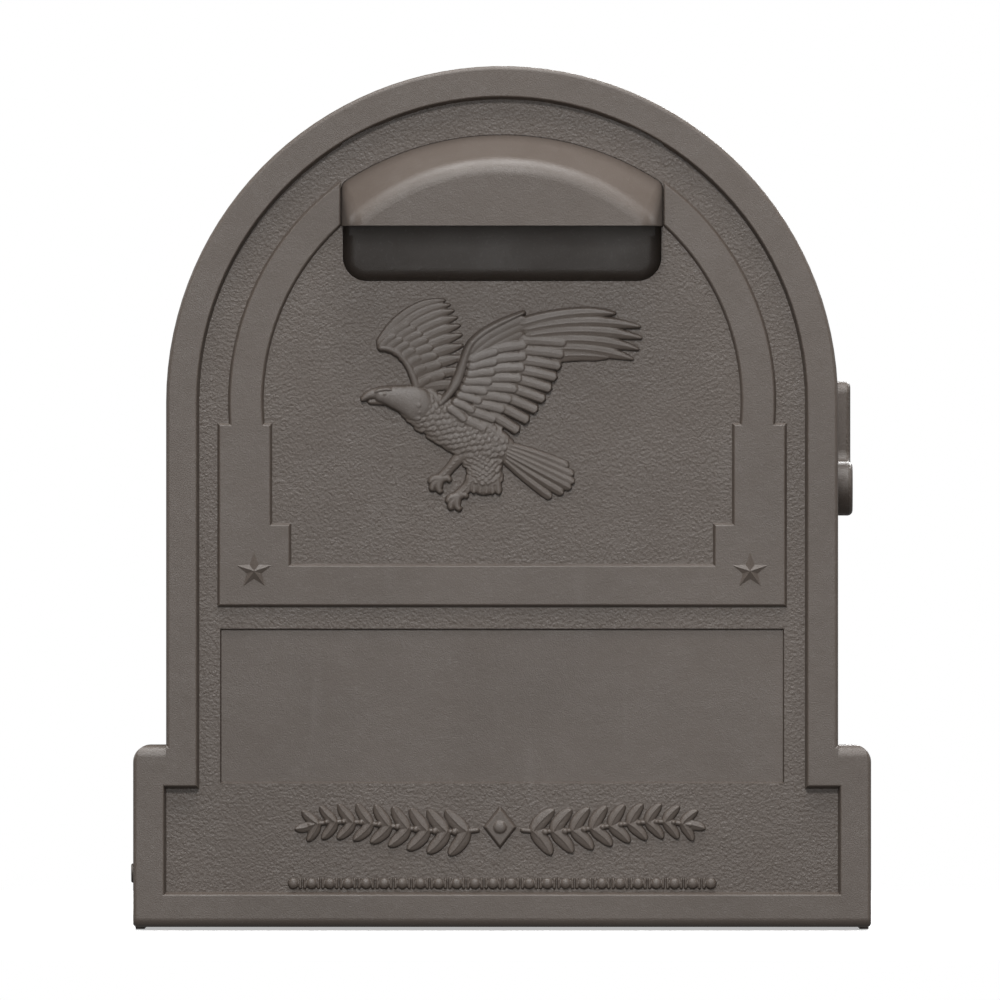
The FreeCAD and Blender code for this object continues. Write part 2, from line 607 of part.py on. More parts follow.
def door_panel():
    """The door: slab, stars, screw bosses, window for the handle and hinge holes."""
    slab = door_slab()
    field_back = "door_front + recess + door_wall"
    stars = [star(side * value("star_x")) for side in (-1, 1)]

    # bosses for the handle's screws, on the inner face
    bosses = []
    for side in (-1, 1):
        for height in ("tab_low", "tab_high"):
            spot = (f"{side} * handle_tab_x", f"{field_back} - margin", height)
            bosses.append(cylinder("handle_boss", spot, "boss_radius", "boss_length + margin",
                                   ALONG_Y))
    solid = fuse("door_with_bosses", [slab] + stars + bosses)

    # the wide foot's upper front edge is rounded
    for side, name in ((-1, "left"), (1, "right")):
        corner = side_box(f"ear_block_{name}", side, "door_half", "ear_half + margin",
                          "door_front - margin", "door_front + ear_round",
                          "ear_top - ear_round", "ear_top + margin")
        low = "door_half" if side > 0 else "-(ear_half + margin)"
        bar = cylinder(f"ear_bar_{name}", (low, "door_front + ear_round", "ear_top - ear_round"),
                       "ear_round", "ear_half - door_half + margin", ALONG_X)
        doc.recompute()
        solid = cut(f"ear_rounded_{name}", solid, cut(f"ear_corner_{name}", corner, bar))

    # window behind the hood and the finger pocket
    window = doc.addObject("PartDesign::Body", "handle_window")
    drawing = sketch(window, "pocket_outline", "XZ_Plane", "-(door_front)")
    outline(drawing, [
        ("-(pocket_half)", "pocket_foot"), ("pocket_half", "pocket_foot"),
        ("pocket_half", "hood_foot + margin"), ("-(pocket_half)", "hood_foot + margin")])
    pad(window, drawing, "window_depth", reverse=True)
    rounded(window, "pocket_corners", "pocket_corner", lambda edge: (
        lies_at(edge, "Z", value("pocket_foot")) and edge.BoundBox.XLength < 0.01))
    drawing = sketch(window, "hood_outline", "XZ_Plane", "-(door_front)")
    outline(drawing, *hood_corners("hood_foot - seam", "hood_half + seam", "hood_top + seam",
                                   "hood_radius + seam", "hood_corner + seam"))
    pad(window, drawing, "window_depth", reverse=True)
    solid = cut("door_windowed", solid, window)

    # pockets behind the border, where the hinge lugs sit
    for side, name in ((-1, "left"), (1, "right")):
        lug_room = side_box(f"lug_room_{name}", side, "lug_inner - lug_gap",
                            "ear_half - door_wall", "door_front + door_wall",
                            f"{field_back} + margin / 10", "door_foot + door_wall",
                            "ear_top - 2 * door_wall")
        doc.recompute()
        solid = cut(f"door_lug_{name}", solid, lug_room)

    # the rim is shortened under the door, and rounded about the hinge behind the foot
    reach = "door_rear - hinge_y"
    corner = box("swing_block", ("-(ear_half + margin)", "hinge_y", "door_foot - margin"),
                 ("ear_half + margin", "door_rear + margin", "hinge_z"))
    round_bar = cylinder("swing_round", ("-(ear_half + 2 * margin)", "hinge_y", "hinge_z"), reach,
                         "2 * (ear_half + 2 * margin)", ALONG_X)
    doc.recompute()
    swing = cut("swing_cut", corner, round_bar)
    solid = cut("door_swing", solid, swing)
    under = box("under_block",
                ("-(ear_half - door_wall)", "door_front + lip_depth", "door_foot - margin"),
                ("ear_half - door_wall", "door_rear + margin", "door_foot + door_wall + margin"))
    doc.recompute()
    solid = cut("door_under", solid, under)

    # holes for the hinge pins, with a seat for each head
    for side, name in ((-1, "left"), (1, "right")):
        for kind, inner, radius in (("hole", "lug_inner", "pin_radius"),
                                    ("seat", "ear_half - pin_sink", "pin_head")):
            start = inner if side > 0 else "-(ear_half + margin)"
            solid = holes(f"pin_{kind}_{name}", solid, [(start, "hinge_y", "hinge_z")], ALONG_X,
                          radius, f"ear_half + margin - ({inner})")

    spots = handle_screw_spots(f"{field_back} - 2")
    solid = holes("handle_pilots", solid, spots, ALONG_Y, "screw_radius",
                  "boss_length + 2 + margin")
    solid = holes("strike_pilots", solid, rivet_spots(f"{field_back} - 2"), ALONG_Y,
                  "rivet_radius", "3")
    return node("door_panel", solid)


def handle_screw_spots(depth):
    """Where the four handle screws lie."""
    return [(f"{side} * handle_tab_x", depth, height)
            for side in (-1, 1) for height in ("tab_low", "tab_high")]


def hood_corners(foot, half, top, radius, corner):
    """Outline of a hood: level foot, upright sides and an arched top with rounded corners."""
    centre = f"({top} - ({radius}))"
    inner = f"({half} - ({corner}))"
    lift = f"sqrt(({radius} - ({corner})) ^ 2 - {inner} ^ 2)"
    shoulder = f"({centre} + {lift})"
    stretch = f"(({radius}) / ({radius} - ({corner})))"
    high = f"{centre} + {lift} * {stretch}"
    across = f"{inner} * {stretch}"
    corners = [(f"-({half})", foot), (half, foot), (half, shoulder), (across, high),
               (f"-({across})", high), (f"-({half})", shoulder)]
    return corners, {2: (inner, shoulder), 3: ("0", centre), 4: (f"-{inner}", shoulder)}


def hood_form(name, inset):
    """The bulging hood, from its root in the door panel to a smaller front face."""
    field = "door_front + recess"
    foot = "hood_foot - 12"
    body = doc.addObject("PartDesign::Body", name + "_body")
    root = sketch(body, name + "_root", "XZ_Plane", f"-({field})")
    outline(root, *hood_corners(foot, f"hood_half - {inset}", f"hood_top - {inset}",
                                f"hood_radius - {inset}", "hood_corner"))
    pad(body, root, "door_wall + 0.4", reverse=True)
    face = sketch(body, name + "_face", "XZ_Plane", f"-({field} - hood_depth + {inset})")
    outline(face, *hood_corners(foot, f"face_half - {inset}", f"face_top - {inset}",
                                f"face_radius - {inset}", "face_corner"))
    doc.recompute()
    loft = body.newObject("PartDesign::AdditiveLoft", name + "_loft")
    loft.Profile = root
    loft.Sections = [face]
    loft.Ruled = True
    grown(body, loft, 1)
    front = value(f"{field} - hood_depth + {inset}")
    rounded(body, name + "_crest", f"hood_crest - {inset}", lambda edge: (
        lies_at(edge, "Y", front) and edge.BoundBox.ZLength > 0.01))
    low = "hood_foot" if inset == "0" else "hood_foot - 1"
    limits = box(name + "_limits", ("-(hood_half + 1)", f"{field} - hood_depth - 1", low),
                 ("hood_half + 1", f"{field} + door_wall + 1", "hood_top + 1"))
    return common(name, body, limits)


def door_handle():
    """Hood, finger pocket and flange in one moulding, with its screws."""
    back = "door_front + recess + door_wall"
    hood = hood_form("hood_outer", "0")

    # flange behind the panel, cup, and four tabs that rest on the panel's bosses
    flange = doc.addObject("PartDesign::Body", "handle_flange")
    drawing = sketch(flange, "flange_outline", "XZ_Plane", f"-({back})")
    outline(drawing, *hood_corners(
        "pocket_foot - flange_reach - margin", "hood_half + flange_reach",
        "hood_top + flange_reach", "hood_radius + flange_reach", "hood_corner + flange_reach"))
    pad(flange, drawing, "hood_wall", reverse=True)

    cup = box("cup_outer", ("-(pocket_half + cup_wall)", back, "pocket_foot - cup_wall"),
              ("pocket_half + cup_wall", f"{back} + pocket_depth", "hood_top - 5"))
    cup = rounded_block("cup_rounded", cup)
    tabs = []
    for side, name in ((-1, "left"), (1, "right")):
        tabs.append(side_box(f"tabs_{name}", side, "pocket_half", "handle_tab_x + tab_reach",
                             f"{back} + boss_length", f"{back} + boss_length + hood_wall",
                             "tab_low - tab_reach", "tab_high + tab_reach"))
    solid = fuse("handle_blank", [hood, flange, cup] + tabs)

    inside = hood_form("hood_inner", "hood_wall")
    cup_room = box("cup_room",
                   ("-(pocket_half + seam)", f"{back} - seam / 2", "pocket_foot - seam"),
                   ("pocket_half + seam", f"{back} + pocket_depth - hood_wall", "hood_foot"))
    cup_room = rounded_block("cup_hollow", cup_room)
    upper_room = box("upper_room",
                     ("-(hood_half - hood_wall)", f"{back} - seam / 2", "hood_foot - 3"),
                     ("hood_half - hood_wall", f"{back} + pocket_depth - hood_wall", "hood_top - 8"))
    doc.recompute()
    solid = cut("handle_hollow", solid, fuse("handle_room", [inside, cup_room, upper_room]))
    solid = holes("handle_holes", solid, handle_screw_spots(f"{back} + boss_length - 1"), ALONG_Y,
                  "screw_hole", "hood_wall + 2")
    node("door_handle", solid)

    screws = screw_row("handle_screws", handle_screw_spots(f"{back} + boss_length + hood_wall"),
                       FORWARDS, "screw_radius", "hood_wall + boss_length", "screw_head",
                       "screw_head_height")
    node("handle_screws", screws)


def filleted(name, base, radius, chosen):
    """Round the edges of a primitive for which chosen(edge) is true."""
    doc.recompute()
    soft = doc.addObject("Part::Fillet", name)
    soft.Base = base
    soft.Edges = [(index, value(radius), value(radius))
                  for index, edge in enumerate(base.Shape.Edges, start=1) if chosen(edge)]
    doc.recompute()
    return soft


def rounded_block(name, block):
    """Round a cup's two lower corners, and its lower rear edge."""
    doc.recompute()
    span = block.Shape.BoundBox
    turn = span.ZMin + value("pocket_corner")
    soft = filleted(name + "_corners", block, "pocket_corner", lambda edge: (
        lies_at(edge, "Z", span.ZMin) and edge.BoundBox.XLength < 0.01))
    return filleted(name, soft, "cup_edge", lambda edge: (
        lies_at(edge, "Y", span.YMax) and edge.BoundBox.ZMin < turn + 0.01
        and edge.BoundBox.ZMax < span.ZMax - 1))


def rivet_spots(depth):
    """Where the two strike rivets lie."""
    return [(f"{side} * rivet_x", depth, "strike_z") for side in (-1, 1)]


def door_hardware():
    """Strike plate with its rivets, and the two hinge pins."""
    back = "door_front + recess + door_wall"
    plate = box("strike_blank", ("-strike_half", back, "strike_z - strike_rise"),
                ("strike_half", f"{back} + strike_wall", "strike_z + strike_rise"))
    plate = holes("strike_holes", plate, rivet_spots(f"{back} - 1"), ALONG_Y, "rivet_radius",
                  "strike_wall + 2")
    node("strike_plate", plate)

    rivets = []
    for index, (across, depth, height) in enumerate(rivet_spots(back), start=1):
        shank = cylinder(f"rivet_shank{index}", (across, f"{depth} - rivet_grip", height),
                         "rivet_radius", "strike_wall + rivet_grip", ALONG_Y)
        cap = doc.addObject("Part::Cone", f"rivet_head{index}")
        bind(cap, Radius1="rivet_radius * 1.6", Radius2="rivet_radius", Height="rivet_head_height")
        place(cap, (across, f"{depth} + strike_wall", height), ALONG_Y)
        rivets.append(fuse(f"rivet_{index}", [shank, cap]))
    node("strike_rivets", group("strike_rivets", rivets))

    for side, name, proud in ((-1, "left", "pin_proud"), (1, "right", "0")):
        outer = f"ear_half + {proud}"
        start = "lug_inner" if side > 0 else f"-({outer})"
        shank = cylinder(f"pin_shank_{name}", (start, "hinge_y", "hinge_z"), "pin_radius",
                         f"{outer} - lug_inner", ALONG_X)
        head_start = "ear_half - pin_sink" if side > 0 else f"-({outer})"
        head = cylinder(f"pin_head_{name}", (head_start, "hinge_y", "hinge_z"), "pin_head",
                        f"pin_sink + {proud}", ALONG_X)
        if side < 0:
            outer_x = value(f"-({outer})")
            head = filleted("pin_domed", head, "pin_dome", lambda edge: (
                lies_at(edge, "X", outer_x)))
        node(f"hinge_pin_{name}", fuse(f"hinge_pin_{name}", [shank, head]))


# Body


def arch_block(body, name, front, length, half, foot):
    """Add a solid arch that runs rearwards from a depth."""
    drawing = sketch(body, name, "XZ_Plane", f"-({front})")
    outline(drawing, *arch_corners(half, foot))
    return pad(body, drawing, length, reverse=True)


def arch_hole(body, name, front, length, half, foot):
    """Cut an arch away, rearwards from a depth."""
    drawing = sketch(body, name, "XZ_Plane", f"-({front})")
    outline(drawing, *arch_corners(half, foot))
    return pocket(body, drawing, length)


def body_shell():
    """Arched shell with its skirt, end bands, weather collar, ledges, lugs and bosses."""
    body = doc.addObject("PartDesign::Body", "shell_body")
    front = "-(shell_front)"
    drawing = sketch(body, "shell_outline", "XZ_Plane", front)
    outline(drawing, *eared_corners("skirt_half", "0", "skirt_top", "shell_half"))
    pad(body, drawing, "shell_rear - shell_front", reverse=True)
    skirt_half = value("skirt_half")
    skirt_top = value("skirt_top")
    rounded(body, "skirt_corners", "ear_corner", lambda edge: (
        lies_at(edge, "Z", skirt_top) and edge.BoundBox.XLength < 0.01
        and abs(abs(edge.BoundBox.XMax) - skirt_half) < 0.01))

    # bands round both ends, and the weather collar inside the door's rim
    for name, start in (("front_band", "shell_front"), ("rear_band", "shell_rear - band_length")):
        arch_block(body, name, start, "band_length", "band_half", "skirt_top - margin")
    arch_block(body, "collar", "collar_front", "shell_front - collar_front", "collar_outer",
               "collar_foot")
    arch_hole(body, "mouth", "collar_front", "shell_front - collar_front",
              "collar_outer - collar_wall", "collar_foot - margin")
    drawing = sketch(body, "cavity", "XZ_Plane", front)
    outline(drawing, *eared_corners("skirt_half - shell_wall", "-margin", "skirt_top - shell_wall",
                                    "shell_half - shell_wall"))
    pocket(body, drawing, "shell_rear - shell_front + margin")

    # ledges for the floor, lug roots and lugs, on both sides
    pieces = [body]
    rear = "shell_rear"
    for side, name in ((-1, "left"), (1, "right")):
        pieces.append(side_box(
            f"ledge_{name}", side, "ledge_inner", "skirt_half - margin", "shell_front", rear,
            "floor_under - ledge_height", "floor_under"))
        pieces.append(side_box(
            f"lug_root_{name}", side, "lug_inner", "skirt_half - margin", "shell_front",
            "shell_front + lug_root", "hinge_z + lug_shoulder", "hinge_z + lug_top"))
        pieces.append(side_box(
            f"lug_arm_{name}", side, "lug_inner", "lug_outer", "hinge_y - lug_radius",
            "shell_front + lug_root", "hinge_z + lug_shoulder", "hinge_z + lug_top"))
        pieces.append(side_box(
            f"lug_neck_{name}", side, "lug_inner", "lug_outer", "hinge_y - lug_radius",
            "hinge_y + lug_radius", "hinge_z", "hinge_z + lug_shoulder + margin / 2"))
        start = "lug_inner" if side > 0 else "-(lug_outer)"
        pieces.append(cylinder(f"lug_eye_{name}", (start, "hinge_y", "hinge_z"), "lug_radius",
                               "lug_outer - lug_inner", ALONG_X))
    pieces.append(box("catch_pad", ("-(catch_half + 1)", "collar_front + 1", "catch_top"),
                      ("catch_half + 1", "catch_rear + 4", "catch_top + collar_wall")))
    for index, (across, height) in enumerate(cover_screw_places(), start=1):
        pieces.append(cylinder(
            f"cover_boss{index}",
            (across, "shell_rear - spigot_length - cover_boss_length", height), "cover_boss",
            "cover_boss_length", ALONG_Y))
    pieces.append(cylinder("flag_stop", flag_stop_spot(), "flag_peg", "2.6", ALONG_X))
    solid = fuse("shell_blank", pieces)
    solid = holes("lug_holes", solid, [("-(ear_half)", "hinge_y", "hinge_z")], ALONG_X,
                  "pin_radius + pin_play", "2 * ear_half")
    solid = holes("flag_hole", solid, [("shell_half - 10", "flag_y", "flag_z")], ALONG_X,
                  "bolt_radius + 0.2", "15")
    spots = cover_screw_spots("shell_rear - spigot_length - cover_boss_length + 2")
    solid = holes("cover_pilots", solid, spots, ALONG_Y, "screw_radius", "cover_boss_length")
    solid = holes("floor_pilots", solid, floor_screw_spots("floor_under - ledge_height - margin"),
                  ALONG_Z, "screw_radius", "ledge_height + 2 * margin")
    solid = holes("catch_pilots", solid, catch_screw_spots("catch_top - margin"), ALONG_Z,
                  "catch_screw", "collar_wall + 1.3")
    spots = [("-(skirt_half + margin)", f"{end} * mount_half + mount_shift", "mount_z")
             for end in (-1, 1)]
    solid = holes("mount_holes", solid, spots, ALONG_X, "mount_hole", "2 * (skirt_half + margin)")
    return node("body_shell", solid)


def side_box(name, side, inner, outer, front, rear, low, high):
    """A block on one side, between two distances from the middle."""
    if side > 0:
        return box(name, (inner, front, low), (outer, rear, high))
    return box(name, (f"-({outer})", front, low), (f"-({inner})", rear, high))


def cover_screw_places():
    """Across and height of the seven cover screws."""
    places = []
    for angle in (30, 90, 150):
        along = f"cover_screw_radius * {math.cos(math.radians(angle)):.6f}"
        up = f"arch_centre + cover_screw_radius * {math.sin(math.radians(angle)):.6f}"
        places.append((along, up))
    for side in (-1, 1):
        places.append((f"{side} * cover_screw_radius", "cover_screw_z"))
        places.append((f"{side} * (skirt_half - shell_wall - corner_screw)",
                       "skirt_top - shell_wall - corner_screw"))
    return places


def cover_screw_spots(depth):
    """Where the seven cover screws lie."""
    return [(across, depth, height) for across, height in cover_screw_places()]


def floor_screw_spots(height):
    """Where the six floor screws lie."""
    return [(f"{side} * (ledge_inner + ledge_screw)", f"{where} * floor_screw_pitch", height)
            for side in (-1, 1) for where in (-1, 0, 1)]


def catch_screw_spots(height):
    """Where the two catch screws lie."""
    return [(f"{side} * catch_screw_x", "(catch_front + catch_rear) / 2", height)
            for side in (-1, 1)]


def flag_stop_spot():
    """Root of the peg that stops the flag."""
    return ("shell_half - 0.5", "flag_y + flag_peg_reach * sqrt(0.5)",
            "flag_z + flag_peg_reach * sqrt(0.5)")


def floor_pan():
    """Ribbed mail floor with its screws."""
    body = doc.addObject("PartDesign::Body", "floor_body")
    drawing = sketch(body, "floor_outline", "XY_Plane", "floor_under")
    nose = "floor_front + nose_length"
    outline(drawing, [
        ("-(nose_half)", "floor_front"), ("nose_half", "floor_front"), ("nose_half", nose),
        ("floor_half", nose), ("floor_half", "floor_rear"), ("-(floor_half)", "floor_rear"),
        ("-(floor_half)", nose), ("-(nose_half)", nose)])
    pad(body, drawing, "floor_wall")

    drawing = sketch(body, "floor_rib", "XY_Plane", "floor_under + floor_wall")
    left = "-(4 * rib_pitch) - rib_width / 2"
    outline(drawing, [
        (left, "floor_front + rib_end"), (f"{left} + rib_width", "floor_front + rib_end"),
        (f"{left} + rib_width", "floor_rear - rib_end"), (left, "floor_rear - rib_end")])
    rib = pad(body, drawing, "rib_height")
    ribs = body.newObject("PartDesign::LinearPattern", "floor_ribs")
    ribs.Originals = [rib]
    ribs.Direction = (drawing, ["H_Axis"])
    ribs.Occurrences = 9
    bind(ribs, Length="8 * rib_pitch")
    body.Tip = ribs
    doc.recompute()
    floor_top = value("floor_under + floor_wall")
    rib_top = floor_top + value("rib_height")
    rounded(body, "rib_edges", "rib_edge", lambda edge: (
        lies_at(edge, "Z", rib_top) and edge.BoundBox.YLength > 100))
    front_y = value("floor_front")
    rounded(body, "floor_nose", "small_edge", lambda edge: (
        lies_at(edge, "Y", front_y) and lies_at(edge, "Z", floor_top)))
    solid = holes("floor_holes", body, floor_screw_spots("floor_under - margin"), ALONG_Z,
                  "screw_hole", "floor_wall + 2 * margin")
    node("floor_pan", solid)
    screws = screw_row("floor_screws", floor_screw_spots("floor_under + floor_wall"),
                       DOWNWARDS, "screw_radius", "floor_wall + ledge_height - 0.5",
                       "screw_head", "screw_head_height")
    node("floor_screws", screws)


def rear_cover():
    """Cover over the shell's rear end, with its rim, stand-offs and screws."""
    body = doc.addObject("PartDesign::Body", "cover_body")
    drawing = sketch(body, "cover_outline", "XZ_Plane", "-(shell_rear)")
    outline(drawing, *eared_corners("skirt_half", "0", "skirt_top", "band_half"))
    pad(body, drawing, "cover_wall", reverse=True)
    skirt_half = value("skirt_half")
    skirt_top = value("skirt_top")
    rounded(body, "cover_corners", "ear_corner", lambda edge: (
        lies_at(edge, "Z", skirt_top) and edge.BoundBox.XLength < 0.01
        and abs(abs(edge.BoundBox.XMax) - skirt_half) < 0.01))
    rear_y = value("shell_rear + cover_wall")
    rounded(body, "cover_edge", "small_edge", lambda edge: lies_at(edge, "Y", rear_y))
    drawing = sketch(body, "cover_field", "XZ_Plane", "-(shell_rear + cover_wall)")
    outline(drawing, *eared_corners("skirt_half - cover_border", "cover_border",
                                    "skirt_top - cover_border", "band_half - cover_border"))
    pocket(body, drawing, "cover_recess", reverse=True)
    arch_block(body, "spigot", "shell_rear - spigot_length", "spigot_length", "spigot_outer",
               "skirt_top + 3")
    arch_hole(body, "spigot_hole", "shell_rear - spigot_length", "spigot_length",
              "spigot_outer - spigot_wall", "skirt_top + 2")
    bosses = []
    for index, (across, height) in enumerate(cover_screw_places(), start=1):
        bosses.append(cylinder(f"stand_off{index}", (across, "shell_rear - spigot_length", height),
                               "cover_boss", "spigot_length + 0.5", ALONG_Y))
    solid = fuse("cover_blank", [body] + bosses)
    solid = trim_to_shell(solid)
    solid = holes("cover_holes", solid, cover_screw_spots("shell_rear - spigot_length - margin"),
                  ALONG_Y, "screw_hole", "cover_wall + spigot_length + 2 * margin")
    spots = cover_screw_spots("shell_rear + cover_wall - cover_recess")
    solid = holes("cover_seats", solid, spots, ALONG_Y, "cover_seat", "cover_recess + margin")
    node("rear_cover", solid)
    screws = screw_row("rear_cover_screws", spots, FORWARDS, "screw_radius",
                       "cover_screw_length", "screw_head", "cover_recess")
    node("rear_cover_screws", screws)


def trim_to_shell(solid):
    """Keep the rear cover's stand-offs clear of the shell's inner wall."""
    front = "shell_rear - spigot_length - margin"
    inside = box("cover_inside", ("-2 * skirt_half", front, "-skirt_half"),
                 ("2 * skirt_half", "shell_rear", "3 * skirt_half"))
    room = doc.addObject("PartDesign::Body", "spigot_room")
    drawing = sketch(room, "spigot_room_outline", "XZ_Plane", f"-({front})")
    outline(drawing, *eared_corners("skirt_half - shell_wall - spigot_gap", "0",
                                    "skirt_top - shell_wall - spigot_gap", "spigot_outer"))
    pad(room, drawing, "spigot_length + margin", reverse=True)
    doc.recompute()
    outside = cut("spigot_outside", inside, room)
    return cut("cover_trimmed", solid, outside)


def catch():
    """Magnetic catch under the top of the shell's mouth."""
    blank = box("catch_blank", ("-catch_half", "catch_front", "catch_foot"),
                ("catch_half", "catch_rear", "catch_top"))
    nest = box("catch_nest", ("-(magnet_half + pole_wall)", "catch_front - 1", "magnet_foot"),
               ("magnet_half + pole_wall", "magnet_rear", "magnet_top"))
    doc.recompute()
    housing = cut("catch_nested", blank, nest)
    spots = catch_screw_spots("catch_foot - margin")
    housing = holes("catch_holes", housing, spots, ALONG_Z, "catch_screw_hole",
                    "catch_top - catch_foot + 2 * margin")
    housing = holes("catch_seats", housing, spots, ALONG_Z, "catch_access", "catch_access")
    node("catch_housing", housing)
    node("catch_magnet", box("catch_magnet", ("-magnet_half", "catch_front + 0.6", "magnet_foot"),
                             ("magnet_half", "magnet_rear", "magnet_top")))
    plates = []
    for side, name in ((-1, "left"), (1, "right")):
        plates.append(side_box(f"pole_{name}", side, "magnet_half", "magnet_half + pole_wall",
                               "pole_front", "magnet_rear", "magnet_foot", "magnet_top"))
    node("catch_pole_plates", group("catch_pole_plates", plates))
    seat = "catch_foot - margin + catch_access"
    screws = screw_row("catch_screws", catch_screw_spots(seat), ALONG_Z, "catch_screw",
                       "catch_top - catch_foot + 0.4", "catch_screw_head", "1.8")
    node("catch_screws", screws)


# Flag


def signal_flag():
    """Flag with its arm, hub and the slot for the stop peg."""
    body = doc.addObject("PartDesign::Body", "flag_body")
    drawing = sketch(body, "flag_outline", "YZ_Plane", "flag_inner")
    outline(drawing, [
        ("flag_y", "flag_z - arm_half"), ("blade_end", "flag_z - arm_half"),
        ("blade_end", "blade_top"), ("blade_start", "blade_top"),
        ("blade_start", "flag_z + arm_half"), ("flag_y", "flag_z + arm_half")],
        {5: ("flag_y", "flag_z")})
    pad(body, drawing, "flag_outer - flag_inner")
    rounded(body, "blade_corners", "blade_corner", lambda edge: (
        edge.BoundBox.XLength > 1 and edge.BoundBox.YLength < 0.01
        and edge.BoundBox.YMin > value("blade_start") - 1))
    rounded(body, "flag_soft_edge", "flag_edge", lambda edge: (
        lies_at(edge, "X", value("flag_outer"))))
    drawing = sketch(body, "flag_field", "YZ_Plane", "flag_outer")
    outline(drawing, [
        ("blade_start + flag_border", "flag_z - arm_half + flag_border"),
        ("blade_end - flag_border", "flag_z - arm_half + flag_border"),
        ("blade_end - flag_border", "blade_top - flag_border"),
        ("blade_start + flag_border", "blade_top - flag_border")])
    pocket(body, drawing, "flag_recess")

    hub = cylinder("flag_hub", ("hub_inner", "flag_y", "flag_z"), "hub_radius",
                   "flag_inner - hub_inner", ALONG_X)
    doc.recompute()
    solid = fuse("flag_blank", [body, hub])
    solid = holes("flag_bore", solid, [("hub_inner - margin", "flag_y", "flag_z")], ALONG_X,
                  "bushing_radius", "flag_outer - hub_inner + 2 * margin")
    solid = holes("flag_head_seat", solid, [("bolt_seat", "flag_y", "flag_z")], ALONG_X,
                  "bolt_head_seat", "flag_outer - bolt_seat + margin")

    # curved slot in the hub, which runs on the shell's stop peg
    start = "hub_inner - margin / 10"
    wide = "flag_peg + 0.4"
    depth = "flag_inner - hub_inner + 0.4"
    quarter = ALONG_X.multiply(Rotation(Vector(0, 0, 1), 45))
    outer = cylinder("slot_outer", (start, "flag_y", "flag_z"), f"flag_peg_reach + {wide}", depth,
                     quarter)
    outer.Angle = 90
    middle = cylinder("slot_inner", ("hub_inner - margin", "flag_y", "flag_z"),
                      f"flag_peg_reach - ({wide})", f"{depth} + 2 * margin", ALONG_X)
    doc.recompute()
    slot = [cut("slot_ring", outer, middle)]
    for side in (-1, 1):
        spot = (start, "flag_y + flag_peg_reach * sqrt(0.5)",
                f"flag_z + {side} * flag_peg_reach * sqrt(0.5)")
        slot.append(cylinder("slot_end", spot, wide, depth, ALONG_X))
    slot = fuse("slot", slot)
    doc.recompute()
    node("signal_flag", cut("flag_slotted", solid, slot))


def ring(name, start, outer, inner, length):
    """A round ring about the flag's pivot, from a start along +X."""
    disc = cylinder(name + "_disc", (start, "flag_y", "flag_z"), outer, length, ALONG_X)
    return holes(name + "_ring", disc, [(f"{start} - margin", "flag_y", "flag_z")], ALONG_X,
                 inner, f"{length} + 2 * margin")


def flag_hardware():
    """Bolt, bushing, washers and nut, from the outside in."""
    wall = "shell_half - shell_wall"
    node("flag_bushing", ring("flag_bushing", "hub_inner", "bushing_radius",
                              "bolt_radius + bolt_play", "bolt_seat - hub_inner"))
    node("flag_friction_washer", ring("friction_washer", "shell_half", "washer_radius",
                                      "bolt_radius + 0.2", "0.8"))
    node("flag_pivot_bolt", screw("flag_pivot_bolt", ("bolt_seat + 0.3", "flag_y", "flag_z"),
                                  INWARDS, "bolt_radius", "bolt_length", "bolt_head",
                                  "bolt_head_height"))
    node("flag_flat_washer", ring("flat_washer", f"{wall} - 1.2", "flat_washer",
                                  "bolt_radius + 0.2", "1.2"))
    split = ring("spring_washer", f"{wall} - 2.8", "washer_radius", "bolt_radius + 0.15", "1.6")
    gap = box("spring_gap", (f"{wall} - 3", "flag_y - 0.4", "flag_z"),
              (f"{wall} - 1", "flag_y + 0.4", "flag_z + 8"))
    doc.recompute()
    node("flag_spring_washer", cut("spring_washer_split", split, gap))
    hexagon = doc.addObject("Part::Prism", "nut_blank")
    hexagon.Polygon = 6
    bind(hexagon, Circumradius="nut_radius", Height="nut_height")
    place(hexagon, (f"{wall} - 2.8 - nut_height", "flag_y", "flag_z"), ALONG_X)
    doc.recompute()
    spot = (f"{wall} - 2.8 - nut_height - margin", "flag_y", "flag_z")
    node("flag_nut", holes("flag_nut_bored", hexagon, [spot], ALONG_X, "bolt_radius",
                           "nut_height + 2 * margin"))


def check():
    """Stop at any object that failed, or a sub-part whose shape is not sound."""
    doc.recompute()
    for piece in doc.Objects:
        if "Invalid" in piece.State or "Error" in piece.State:
            raise ValueError(f"{piece.Name} failed: {piece.State}")
    for name, piece in NODES.items():
        if piece.Shape.isNull() or not piece.Shape.isValid():
            raise ValueError(f"{name} has no sound shape")


door_panel()
door_handle()
door_hardware()
body_shell()
floor_pan()
rear_cover()
catch()
signal_flag()
flag_hardware()
check()

os.makedirs("parts", exist_ok=True)
for name, piece in NODES.items():
    piece.Shape.exportStep(f"parts/{name}.step")
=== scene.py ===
import math

